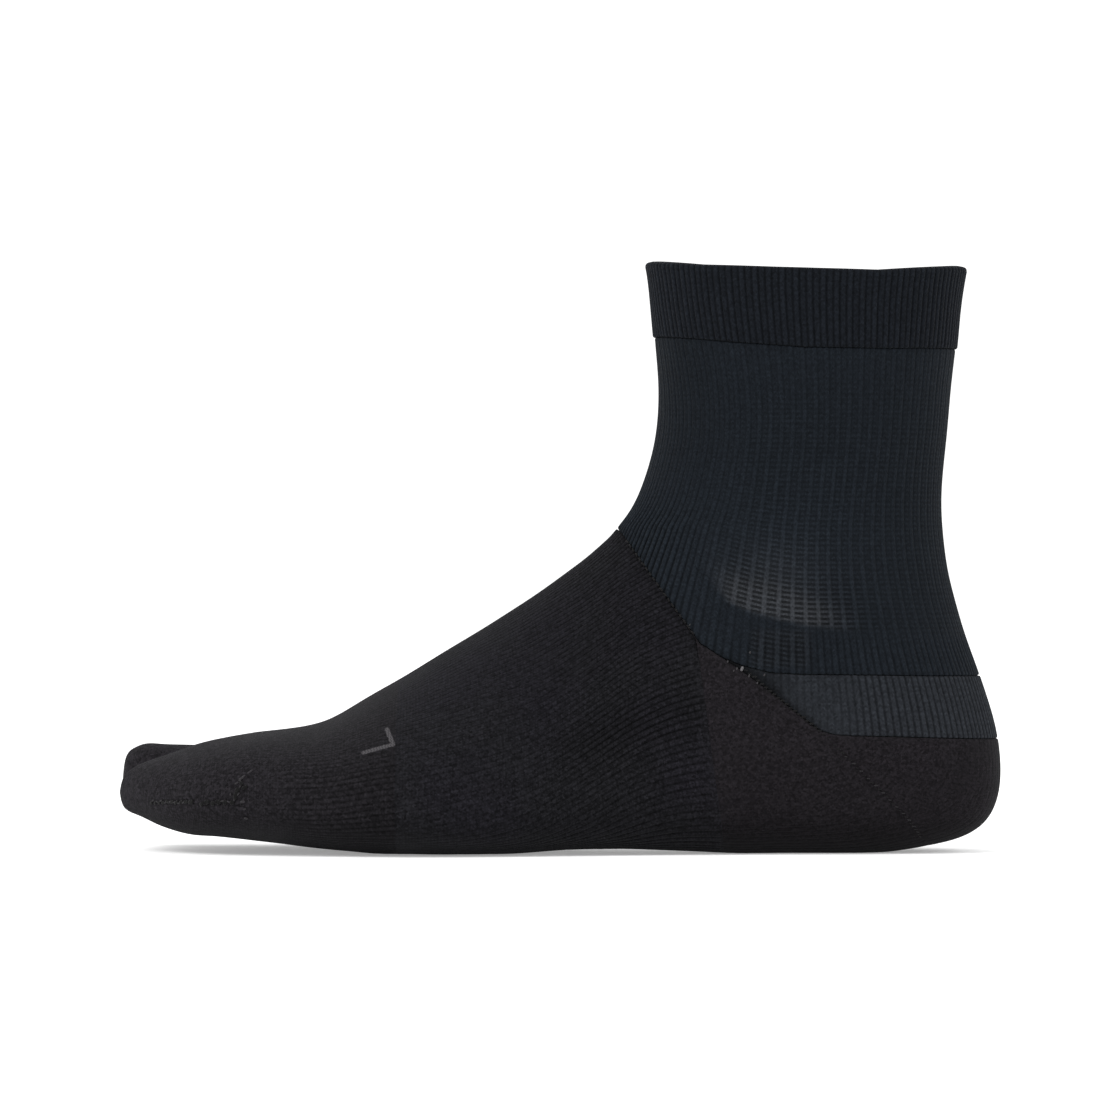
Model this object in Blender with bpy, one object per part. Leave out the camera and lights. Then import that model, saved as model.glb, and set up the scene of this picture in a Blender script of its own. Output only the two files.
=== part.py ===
# A knitted split-toe (tabi) sock for the left foot, in the shape it has when worn.
#
# Frame: metres, +Z up. The toes point to -X and the heel to +X. The outer (little toe) side of
# the foot is -Y, the inner (big toe) side is +Y. The origin is on the inside of the sole, under
# the ankle, where the heel of the foot sits; the floor is BED below it.
#
# The whole outer surface is one loft. Each row of SECTIONS is a plane that stands square to the
# XZ plane and cuts the sock through a front (or top) point and a back (or bottom) point, both on
# the side view's outline. The rows run from above the rim, fan round the heel, and end where the
# toes split. In each plane the outline is four quarter super-ellipses. s runs along the loft and
# v runs round it: 0 at the front ridge, 0 to 0.5 down the outer side, 0.5 at the back or under
# the sole, and 0.5 to 1 up the inner side.

import math

import bmesh
import bpy
import numpy as np

# ---------------------------------------------------------------- driving sizes, in mm
BED = 2.4                 # the inner sole's height above the floor
GAP = 0.3                 # clear space between two neighbouring pieces
COLUMNS = 36              # faces round a ring
SPLIT_X = -162.0          # where the toe pockets begin
FOREFOOT_X = -119.4       # where the ribbed middle of the foot ends

# wall thickness, and how far each piece stands outside the lofted surface
WALL = {                  #            wall  proud
    "cuff":                (2.4,  0.55),
    "leg":                 (1.6,  0.0),
    "achilles_band":       (1.8,  0.1),
    "heel_cup":            (2.3,  0.1),
    "foot_body":           (1.9,  0.0),
    "forefoot":            (2.1,  0.0),
    "four_toe_pocket":     (2.1,  0.0),
    "big_toe_pocket":      (2.1,  0.0),
}

# The loft's sections. Heights are above the floor.
#   fx, fz    front or top point on the outline          bx, bz   back or bottom point
#   lat, med  half widths to the outer and inner side    wl, wm   where they are widest, 0 front to 1 back
#   ry, by    the front ridge's and the back point's y   nfl nbl nfm nbm  roundness of the four quarters
#            fx     fz      bx     bz    lat   med   wl    wm    ry    by    nfl  nbl  nfm  nbm
SECTIONS = (
    (      -46.8, 178.5,   50.2, 178.0,  38.5, 38.5, .52,  .52,  0.0,  0.0,  2.1, 2.1, 2.1, 2.1),
    (      -45.8, 174.6,   49.1, 173.0,  38.0, 38.0, .52,  .52,  0.0,  0.0,  2.1, 2.1, 2.1, 2.1),
    (      -43.2, 152.2,   46.5, 152.0,  35.6, 35.6, .52,  .52,  0.0,  0.0,  2.1, 2.1, 2.1, 2.1),
    (      -42.2, 140.1,   44.9, 137.2,  33.6, 33.8, .51,  .51,  0.0,  0.0,  2.1, 2.0, 2.1, 2.0),
    (      -42.8, 125.2,   43.5, 122.3,  32.2, 32.6, .50,  .50,  0.0,  0.0,  2.1, 1.9, 2.1, 1.9),
    (      -45.5, 113.3,   42.2, 107.4,  31.8, 32.4, .49,  .49,  0.0,  0.0,  2.1, 1.85, 2.1, 1.85),
    (      -48.2, 105.9,   42.8,  92.5,  32.0, 32.8, .49,  .49,  0.5,  0.0,  2.15, 1.85, 2.15, 1.85),
    (      -50.0, 102.3,   45.5,  77.1,  32.4, 33.2, .49,  .49,  1.0,  0.0,  2.2, 1.9, 2.2, 1.9),
    (      -51.5,  99.9,   50.3,  61.3,  32.6, 33.2, .50,  .50,  1.5,  0.0,  2.2, 2.0, 2.2, 2.0),
    (      -53.0,  97.9,   55.9,  44.9,  32.8, 33.0, .53,  .52,  2.0,  0.0,  2.2, 2.2, 2.2, 2.2),
    (      -54.4,  96.1,   59.5,  25.6,  33.0, 33.0, .57,  .55,  2.5,  0.0,  2.2, 2.4, 2.2, 2.4),
    (      -56.5,  93.7,   55.0,   9.2,  33.4, 33.0, .60,  .57,  3.2,  0.0,  2.15, 2.6, 2.2, 2.5),
    (      -59.5,  91.0,   38.7,   2.0,  34.0, 33.0, .60,  .57,  4.2,  0.0,  2.1, 2.7, 2.2, 2.5),
    (      -64.0,  87.1,   17.9,  -0.6,  34.6, 32.8, .58,  .54,  5.5,  0.0,  2.05, 2.8, 2.2, 2.4),
    (      -69.0,  83.2,    0.0,  -0.6,  35.4, 32.6, .58,  .52,  6.8, -1.0,  2.0, 2.8, 2.2, 2.1),
    (      -75.9,  78.2,  -17.9,  -0.4,  36.8, 32.8, .60,  .50,  8.4, -4.0,  2.0, 2.8, 2.2, 1.9),
    (      -84.8,  72.2,  -35.7,   0.6,  38.8, 33.4, .64,  .50, 10.0, -8.0,  2.0, 2.8, 2.2, 1.75),
    (      -95.3,  65.7,  -53.6,   1.2,  42.0, 34.8, .68,  .52, 11.4, -8.0,  2.0, 2.8, 2.2, 1.8),
    (     -107.2,  58.5,  -71.4,   0.7,  45.8, 37.6, .70,  .56, 12.0, -5.0,  2.0, 2.8, 2.25, 2.1),
    (     -119.2,  51.1,  -89.3,  -0.5,  49.0, 42.2, .70,  .60, 11.4, -2.0,  2.0, 2.8, 2.3, 2.6),
    (     -130.6,  44.6, -107.1,  -0.6,  50.0, 47.2, .68,  .62, 10.0,  0.0,  2.1, 2.8, 2.4, 2.8),
    (     -140.6,  39.0, -124.9,  -0.4,  48.2, 50.2, .64,  .62,  8.2,  1.0,  2.2, 2.7, 2.6, 2.8),
    (     -150.2,  36.7, -142.8,   1.1,  45.2, 49.8, .60,  .60,  6.6,  1.5,  2.3, 2.6, 2.8, 2.7),
    (     -161.4,  35.3, -160.4,   3.2,  41.0, 46.9, .58,  .57,  5.4,  1.5,  2.4, 2.5, 3.0, 2.6),
    (     -170.0,  34.4, -171.0,   4.4,  37.6, 44.4, .57,  .55,  5.0,  1.5,  2.4, 2.4, 3.0, 2.5),
)

# The pocket for the four smaller toes and the pocket for the big toe: sections square to X, from
# the split to the tip, with the same columns. The last row is the tip itself.
#             x       z top  z bottom  lat    med   wl    wm    ry    by    nfl  nbl  nfm  nbm
FOUR_TOES = (
    (      -162.0,    35.2,    3.3,   40.8,  17.7, .58,  .57,  5.4,  1.5,  2.4, 2.5, 3.6, 3.4),
    (      -168.0,    34.3,    4.1,   39.0,  17.1, .58,  .56,  4.6, -1.0,  2.35, 2.5, 3.1, 3.1),
    (      -174.0,    33.2,    4.7,   35.9,  16.8, .57,  .54,  3.8, -3.4,  2.25, 2.5, 2.7, 2.8),
    (      -180.0,    31.7,    5.1,   31.0,  16.5, .56,  .53,  3.0, -5.0,  2.2, 2.4, 2.5, 2.6),
    (      -186.0,    29.6,    6.4,   24.8,  16.1, .55,  .53,  3.0, -3.4,  2.2, 2.4, 2.4, 2.5),
    (      -191.2,    27.8,    8.1,   18.4,  15.5, .54,  .52,  3.2, -1.0,  2.2, 2.3, 2.3, 2.4),
    (      -195.7,    26.1,   10.1,   12.0,  14.6, .53,  .52,  3.6,  1.0,  2.2, 2.3, 2.2, 2.3),
    (      -199.1,    24.3,   11.4,    6.0,  13.0, .52,  .51,  4.0,  2.6,  2.2, 2.2, 2.2, 2.2),
    (      -201.6,    21.6,   13.4,    0.0,  10.2, .50,  .50,  4.4,  3.8,  2.1, 2.1, 2.1, 2.1),
    (      -202.7,    17.4,   17.4,   -5.0,   5.0, .50,  .50,  5.0,  5.0,  2.0, 2.0, 2.0, 2.0),
)
BIG_TOE = (
    (      -162.0,    33.8,    4.4,  -18.3,  46.8, .57,  .57, 30.5, 29.5,  3.6, 3.4, 2.15, 1.9),
    (      -168.0,    32.7,    4.9,  -19.0,  46.9, .56,  .56, 31.4, 30.6,  3.1, 3.1, 2.2, 2.0),
    (      -174.0,    31.6,    5.4,  -19.4,  47.0, .55,  .55, 32.0, 31.4,  2.7, 2.8, 2.25, 2.15),
    (      -180.0,    30.8,    5.7,  -19.6,  46.8, .53,  .54, 32.6, 32.0,  2.5, 2.6, 2.5, 2.4),
    (      -186.0,    30.8,    6.3,  -19.5,  46.3, .52,  .53, 32.6, 32.2,  2.4, 2.5, 2.4, 2.4),
    (      -191.4,    31.0,    7.1,  -19.8,  45.3, .52,  .52, 32.4, 32.2,  2.4, 2.4, 2.4, 2.4),
    (      -196.2,    31.2,    8.4,  -20.7,  43.5, .51,  .52, 32.2, 32.2,  2.3, 2.3, 2.3, 2.3),
    (      -200.0,    29.9,   10.5,  -22.6,  40.8, .50,  .51, 32.0, 32.0,  2.2, 2.2, 2.2, 2.2),
    (      -202.5,    27.0,   14.0,  -26.0,  37.2, .50,  .50, 31.8, 31.8,  2.1, 2.1, 2.1, 2.1),
    (      -203.5,    20.0,   20.0,  -31.6,  31.6, .50,  .50, 31.6, 31.6,  2.0, 2.0, 2.0, 2.0),
)

# The ankle bones under the knit: centre in the side view, height of the bump and its radius.
#                  x     z   bump  radius
ANKLE_BONES = {
    "outer":     (-3.0, 75.0, 4.6, 20.0),
    "inner":     (-8.0, 83.0, 4.6, 20.0),
}

# Lines where one piece meets the next, in the side view, on both sides of the foot.
RIM = ((-46.5, 175.0), (-45.0, 174.7), (-30.0, 173.1), (-9.0, 172.2), (4.5, 171.8), (22.0, 171.4),
       (41.6, 172.8), (49.5, 173.5))                       # top edge, x to z
CUFF_SEAM = ((-46.0, 153.0), (-20.0, 150.4), (0.0, 148.9), (25.0, 148.6), (48.0, 149.2))
LEG_HEM = ((-62.0, 106.0), (-56.0, 98.2), (-53.0, 94.0), (-42.0, 78.4), (-30.4, 62.3),
           (-24.5, 58.4), (-18.7, 55.9), (-10.0, 53.6), (0.0, 53.0), (20.0, 52.9), (60.0, 52.4))
BAND_HEM = LEG_HEM[:6] + ((-18.7, 54.6), (-10.0, 48.3), (-1.2, 41.2), (5.0, 36.6), (9.0, 35.4),
                          (14.0, 35.1), (28.0, 34.8), (46.4, 34.2), (62.0, 33.6))
FOOT_BACK = ((-23.0, -5.0), (-23.2, 0.0), (-24.0, 8.5), (-26.4, 25.2), (-29.0, 45.7), (-31.6, 63.5),
             (-42.0, 78.4), (-53.0, 94.0), (-62.0, 106.0))  # given as x at each height


# ---------------------------------------------------------------- curves and the loft
def smooth_curve(knots, values):
    """A natural cubic through (knot, value) pairs, as a function of an array."""
    x = np.asarray(knots, float)
    y = np.asarray(values, float)
    n = len(x)
    h = np.diff(x)
    a = np.eye(n)
    r = np.zeros(n)
    for i in range(1, n - 1):
        a[i, i - 1] = h[i - 1]
        a[i, i] = 2.0 * (h[i - 1] + h[i])
        a[i, i + 1] = h[i]
        r[i] = 6.0 * ((y[i + 1] - y[i]) / h[i] - (y[i] - y[i - 1]) / h[i - 1])
    m = np.linalg.solve(a, r)

    def at(q):
        q = np.clip(np.asarray(q, float), x[0], x[-1])
        k = np.clip(np.searchsorted(x, q, side="right") - 1, 0, n - 2)
        t0 = q - x[k]
        t1 = x[k + 1] - q
        return ((m[k] * t1 ** 3 + m[k + 1] * t0 ** 3) / (6.0 * h[k])
                + (y[k] / h[k] - m[k] * h[k] / 6.0) * t1
                + (y[k + 1] / h[k] - m[k + 1] * h[k] / 6.0) * t0)
    return at


def line_through(points, x_of_z=False):
    """A side-view line as a straight-sided function: z at x, or x at z."""
    p = np.asarray(points, float)
    if x_of_z:
        return lambda z: np.interp(z, p[:, 1], p[:, 0])
    return lambda x: np.interp(x, p[:, 0], p[:, 1])


class Loft:
    """Sections (fx fz bx bz lat med wl wm ry by nfl nbl nfm nbm) joined by smooth curves."""

    def __init__(self, rows, knots, bumps=()):
        self.knots = np.asarray(knots, float)
        table = np.asarray(rows, float)
        self.columns = [smooth_curve(self.knots, table[:, c]) for c in range(table.shape[1])]
        self.bumps = bumps
        self.end = self.knots[-1]

    def point(self, s, v, proud=0.0):
        s = np.asarray(s, float)
        v = np.mod(np.asarray(v, float), 1.0)
        s, v = np.broadcast_arrays(s, v)
        fx, fz, bx, bz, lat, med, wl, wm, ry, by, nfl, nbl, nfm, nbm = [c(s) for c in self.columns]
        outer = v < 0.5
        t = np.where(outer, v, 1.0 - v) * 2.0
        side = np.where(outer, -lat, med)
        wide = np.where(outer, wl, wm)
        nf = np.where(outer, nfl, nfm)
        nb = np.where(outer, nbl, nbm)
        length = np.hypot(bx - fx, bz - fz)

        def quarter(phi, n):
            c, d = np.cos(phi), np.sin(phi)
            r = (np.abs(c) ** n + np.abs(d) ** n) ** (-1.0 / n)
            return r * c, r * d

        def half(p):
            """p from 0 at the front ridge to 2 at the back point; gives u (0 to 1) and y."""
            front = p <= 1.0
            phi = np.where(front, p, 2.0 - p) * (math.pi / 2.0)
            n = np.where(front, nf_, nb_)
            along, out = quarter(phi, n)
            u = np.where(front, wide_ * (1.0 - along), wide_ + (1.0 - wide_) * along)
            y = np.where(front, ry_ + (side_ - ry_) * out, by_ + (side_ - by_) * out)
            return u, y

        steps = np.linspace(0.0, 2.0, 65)
        nf_, nb_, wide_, ry_, by_, side_ = [q[..., None] for q in (nf, nb, wide, ry, by, side)]
        u, y = half(np.broadcast_to(steps, s.shape + (65,)))
        along = np.concatenate([np.zeros(s.shape + (1,)),
                                np.cumsum(np.hypot(np.diff(u, axis=-1) * length[..., None],
                                                   np.diff(y, axis=-1)), axis=-1)], axis=-1)
        target = t * along[..., -1]
        k = np.clip((along <= target[..., None]).sum(axis=-1) - 1, 0, 63)
        a0 = np.take_along_axis(along, k[..., None], -1)[..., 0]
        a1 = np.take_along_axis(along, k[..., None] + 1, -1)[..., 0]
        p = steps[k] + (steps[1] - steps[0]) * (target - a0) / np.maximum(a1 - a0, 1e-9)
        nf_, nb_, wide_, ry_, by_, side_ = nf, nb, wide, ry, by, side
        u, y = half(p)
        x = fx + u * (bx - fx)
        z = fz + u * (bz - fz)
        for which, (cx, cz, high, radius) in self.bumps:
            swell = high * np.exp(-((x - cx) ** 2 + (z - cz) ** 2) / (2.0 * (radius * 0.62) ** 2))
            inside = outer if which == "outer" else ~outer
            y = y + np.where(inside, -swell if which == "outer" else swell, 0.0)
        return np.stack([x, y, np.maximum(z, 0.0)], axis=-1)

    def normal(self, s, v):
        ds, dv = 0.4, 0.004
        lo, hi = np.clip(s - ds, 0.0, self.end), np.clip(s + ds, 0.0, self.end)
        along = self.point(hi, v) - self.point(lo, v)
        round_ = self.point(s, v + dv) - self.point(s, v - dv)
        n = np.cross(along, round_)
        return n / np.maximum(np.linalg.norm(n, axis=-1, keepdims=True), 1e-9)

    def step(self, s, v):
        """How far the surface moves, in mm, for one unit of s."""
        return np.linalg.norm(self.point(s + 0.5, v) - self.point(s - 0.5, v), axis=-1)

    def cross(self, v, test, lo, hi):
        """The s at which test(x, z) turns positive, along each column v."""
        s = np.linspace(lo, hi, 321)
        v = np.asarray(v, float)
        p = self.point(s[:, None], v[None, :])
        f = test(p[..., 0], p[..., 2])
        first = np.argmax(f > 0.0, axis=0)
        first = np.clip(first, 1, len(s) - 1)
        c = np.arange(len(v))
        f0, f1 = f[first - 1, c], f[first, c]
        w = np.clip(-f0 / np.where(np.abs(f1 - f0) < 1e-9, 1e-9, f1 - f0), 0.0, 1.0)
        return s[first - 1] + w * (s[1] - s[0])


def section_knots(rows):
    """Distance along the middle of the sections."""
    t = np.asarray(rows, float)
    mid = np.stack([(t[:, 0] + t[:, 2]) / 2.0, (t[:, 1] + t[:, 3]) / 2.0], axis=1)
    return np.concatenate([[0.0], np.cumsum(np.linalg.norm(np.diff(mid, axis=0), axis=1))])


def pocket_rows(rows):
    """Turn a toe pocket's rows (x, z top, z bottom, ...) into section rows."""
    return [(x, top, x, low) + tuple(rest) for x, top, low, *rest in rows]


body = Loft(SECTIONS, section_knots(SECTIONS), tuple(ANKLE_BONES.items()))
toes = Loft(pocket_rows(FOUR_TOES), np.arange(len(FOUR_TOES)) * 5.0)
thumb = Loft(pocket_rows(BIG_TOE), np.arange(len(BIG_TOE)) * 5.0)

rim_z = line_through(RIM)
cuff_z = line_through(CUFF_SEAM)
leg_z = line_through(LEG_HEM)
band_z = line_through(BAND_HEM)
foot_x = line_through(FOOT_BACK, x_of_z=True)


def below(line):
    return lambda x, z: line(x) - z


def in_foot(x, z):
    return foot_x(z) - x


def past(limit):
    return lambda x, z: limit - x


# ---------------------------------------------------------------- meshes
def frame_point(p):
    """From mm above the floor to metres in the part's frame."""
    q = np.array(p, float)
    q[..., 2] -= BED
    return q * 0.001


def add_object(name, verts, faces, colour, roughness):
    mesh = bpy.data.meshes.new(name)
    mesh.from_pydata([tuple(map(float, p)) for p in verts], [], faces)
    bm = bmesh.new()
    bm.from_mesh(mesh)
    bmesh.ops.recalc_face_normals(bm, faces=bm.faces)
    bmesh.ops.triangulate(bm, faces=bm.faces)
    bm.to_mesh(mesh)
    bm.free()
    mesh.shade_smooth()
    mesh.set_sharp_from_angle(angle=math.radians(50.0))
    material = bpy.data.materials.new(name + "_knit")
    material.use_nodes = True
    shader = material.node_tree.nodes["Principled BSDF"]
    shader.inputs["Base Color"].default_value = (*colour, 1.0)
    shader.inputs["Roughness"].default_value = roughness
    shader.inputs["Metallic"].default_value = 0.0
    mesh.materials.append(material)
    obj = bpy.data.objects.new(name, mesh)
    bpy.context.scene.collection.objects.link(obj)
    return obj


def shell(name, loft, s, v, colour, ring=True, tip=False, roughness=0.9):
    """A closed wall over the grid s, v: outer skin, inner skin and the rims between them."""
    wall, proud = WALL[name]
    rows, cols = s.shape
    skin = loft.point(s, v)
    out = loft.normal(s, v)
    middle = skin.reshape(-1, 3).mean(axis=0)
    if np.sum((skin - middle) * out) < 0.0:
        out = -out
    outer = skin + out * proud
    outer[..., 2] = np.maximum(outer[..., 2], 0.0)
    inner = skin - out * (wall - proud)
    inner[..., 2] = np.maximum(inner[..., 2], BED)
    verts = np.concatenate([outer.reshape(-1, 3), inner.reshape(-1, 3)])
    base = rows * cols

    def o(i, j):
        return i * cols + j % cols

    def n(i, j):
        return base + i * cols + j % cols

    faces = []
    last = cols if ring else cols - 1
    for i in range(rows - 1):
        for j in range(last):
            faces.append((o(i, j), o(i, j + 1), o(i + 1, j + 1), o(i + 1, j)))
            faces.append((n(i, j), n(i + 1, j), n(i + 1, j + 1), n(i, j + 1)))
    for j in range(last):
        faces.append((o(0, j), n(0, j), n(0, j + 1), o(0, j + 1)))
        if not tip:
            i = rows - 1
            faces.append((o(i, j), o(i, j + 1), n(i, j + 1), n(i, j)))
    if not ring:
        for i in range(rows - 1):
            faces.append((o(i, 0), o(i + 1, 0), n(i + 1, 0), n(i, 0)))
            j = cols - 1
            faces.append((o(i, j), n(i, j), n(i + 1, j), o(i + 1, j)))
    if tip:
        point = loft.point(np.array([loft.end]), np.array([0.0]))[0]
        verts = np.concatenate([verts, [point], [point + np.array([wall, 0.0, 0.0])]])
        for j in range(cols):
            faces.append((o(rows - 1, j), o(rows - 1, j + 1), len(verts) - 2))
            faces.append((n(rows - 1, j), len(verts) - 1, n(rows - 1, j + 1)))
    return add_object(name, frame_point(verts), faces, colour, roughness)


def rows_between(lo, hi, count):
    return lo[None, :] + (hi - lo)[None, :] * np.linspace(0.0, 1.0, count)[:, None]


def clear(loft, s, v, sign, lean=1.0):
    """Draw a boundary back by half the gap (more where it crosses the columns at a slant)."""
    return s + sign * lean * 0.5 * GAP / np.maximum(loft.step(s, v), 0.2)


def lean_of(loft, s, v):
    """How slanted the boundary s(v) lies to the columns, as a factor on the gap."""
    p = loft.point(s, v)
    edge = np.roll(p, -1, axis=0) - np.roll(p, 1, axis=0)
    edge[0], edge[-1] = p[1] - p[0], p[-1] - p[-2]
    column = loft.point(s + 0.5, v) - loft.point(s - 0.5, v)
    cosine = np.abs(np.sum(edge * column, axis=1)) / np.maximum(
        np.linalg.norm(edge, axis=1) * np.linalg.norm(column, axis=1), 1e-9)
    return np.clip(1.0 / np.sqrt(np.maximum(1.0 - cosine ** 2, 0.02)), 1.0, 4.0)


def edges(v, test, lo, hi, loft=body):
    """A boundary, drawn back on its upper and on its lower side."""
    s = loft.cross(v, test, lo, hi)
    lean = lean_of(loft, s, v)
    return s, clear(loft, s, v, -1.0, lean), clear(loft, s, v, +1.0, lean)


def columns_round():
    """The columns of every ring, closer together where the seams bend at the ankle."""
    even = np.arange(COLUMNS) / COLUMNS
    bend = (even[:-1] + even[1:]) / 2.0
    bend = bend[((bend > 0.13) & (bend < 0.26)) | ((bend > 0.74) & (bend < 0.87))]
    return np.sort(np.concatenate([even, bend]))


def build():
    for old in list(bpy.data.objects):
        bpy.data.objects.remove(old, do_unlink=True)

    v = columns_round()
    end = body.end
    k = body.knots
    rim, _, _ = edges(v, below(rim_z), 0.0, k[2])
    _, seam_up, seam_low = edges(v, below(cuff_z), k[1], k[4])
    hem, hem_up, hem_low = edges(v, below(leg_z), k[4], k[15])
    band, band_up, band_low = edges(v, below(band_z), k[4], k[16])
    back, back_up, back_low = edges(v, in_foot, k[6], k[18])
    _, fore_up, fore_low = edges(v, past(FOREFOOT_X), k[14], k[22])
    _, split_up, _ = edges(v, past(SPLIT_X), k[18], end)

    blue_black = (0.0115, 0.0145, 0.0185)
    lifted_black = (0.022, 0.024, 0.028)
    brown_black = (0.0145, 0.0125, 0.0140)
    foot_black = (0.0130, 0.0125, 0.0140)
    toe_black = (0.0215, 0.0195, 0.0225)

    def ring(name, lo, hi, rows, colour):
        shell(name, body, rows_between(lo, hi, rows), np.tile(v, (rows, 1)), colour)

    def strip(name, lo, hi, rows, colour, least):
        """A piece that goes round the back only, where it is at least so high."""
        high = (hi - lo) * body.step(0.5 * (lo + hi), v)
        on = (high > least) & (v > 0.1) & (v < 0.9)
        shell(name, body, rows_between(lo[on], hi[on], rows), np.tile(v[on], (rows, 1)), colour,
              ring=False)
        return on

    ring("cuff", rim, seam_up, 5, blue_black)
    ring("leg", seam_low, hem_up, 10, blue_black)
    ring("foot_body", back_low, fore_up, 11, foot_black)
    ring("forefoot", fore_low, split_up, 7, toe_black)
    # the band over the tendon lies between the leg and the heel cup, behind the two gores, and
    # the heel cup goes on from there, down and under the heel to the foot
    on = strip("achilles_band", hem_low, band_up, 4, lifted_black, 2.0)
    strip("heel_cup", np.where(on, band_low, hem_low), back_up, 12, brown_black, 3.0)

    # toe pockets: one column count each, from the split to the tip
    for name, loft, rows, count in (("four_toe_pocket", toes, FOUR_TOES, 30),
                                    ("big_toe_pocket", thumb, BIG_TOE, 24)):
        v = np.arange(count) / count
        s = loft.knots[:-1].copy()
        s[0] += 0.5 * GAP / abs(rows[1][0] - rows[0][0]) * 5.0
        s = np.repeat(s[:, None], count, axis=1)
        shell(name, loft, s, np.tile(v, (len(rows) - 1, 1)), toe_black, tip=True)


build()
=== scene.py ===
# The looks of the knitted split-toe sock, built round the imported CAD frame.
#
# Lengths in the tables are mm, with heights above the floor; the frame is in metres with its
# origin BED above the floor. The toes point to -X, the outer (little toe) side is -Y.
#
# The skin is the same loft as the CAD's. Over it each piece is knitted with its own grid: the
# columns run along the wales, and the grooves between the ribs are in the mesh. The courses and
# the single stitches are too fine for that and are bump, laid out on the UV map "knit", where
# U counts wales and V counts courses.

import math

import bpy
import numpy as np
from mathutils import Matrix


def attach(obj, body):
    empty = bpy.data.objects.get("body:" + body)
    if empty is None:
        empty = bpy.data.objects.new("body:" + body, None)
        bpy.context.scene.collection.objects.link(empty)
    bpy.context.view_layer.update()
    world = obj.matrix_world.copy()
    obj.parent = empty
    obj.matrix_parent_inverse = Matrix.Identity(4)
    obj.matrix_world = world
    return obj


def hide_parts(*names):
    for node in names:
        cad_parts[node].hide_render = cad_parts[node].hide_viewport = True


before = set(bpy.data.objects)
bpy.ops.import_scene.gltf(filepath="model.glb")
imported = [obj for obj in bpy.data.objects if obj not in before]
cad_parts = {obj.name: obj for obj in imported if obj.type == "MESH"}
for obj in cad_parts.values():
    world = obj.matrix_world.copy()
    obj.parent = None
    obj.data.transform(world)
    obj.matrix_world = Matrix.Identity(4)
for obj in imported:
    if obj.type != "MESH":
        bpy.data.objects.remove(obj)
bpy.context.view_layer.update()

# ---------------------------------------------------------------- sizes
BED = 2.4
SPLIT_X = -162.0          # where the toe pockets begin
FOREFOOT_X = -119.4       # where the ribbed middle of the foot ends
LEG_WALES = 144           # ribs round the cuff and the leg
FOOT_WALES = 144          # ribs round the foot
COURSE = 1.43             # height of a course in the leg
SEAM = 0.06               # half the open space in a seam

#                  wall  proud  lip radius
FABRIC = {
    "cuff":            (2.4, 0.55, 0.55),
    "leg":             (1.6, 0.00, 0.50),
    "achilles_band":   (1.8, 0.05, 0.50),
    "heel_cup":        (2.3, 0.10, 0.55),
    "foot_body":       (1.9, 0.00, 0.50),
    "forefoot":        (2.1, 0.00, 0.50),
    "four_toe_pocket": (2.1, 0.00, 0.45),
    "big_toe_pocket":  (2.1, 0.00, 0.45),
}

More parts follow.
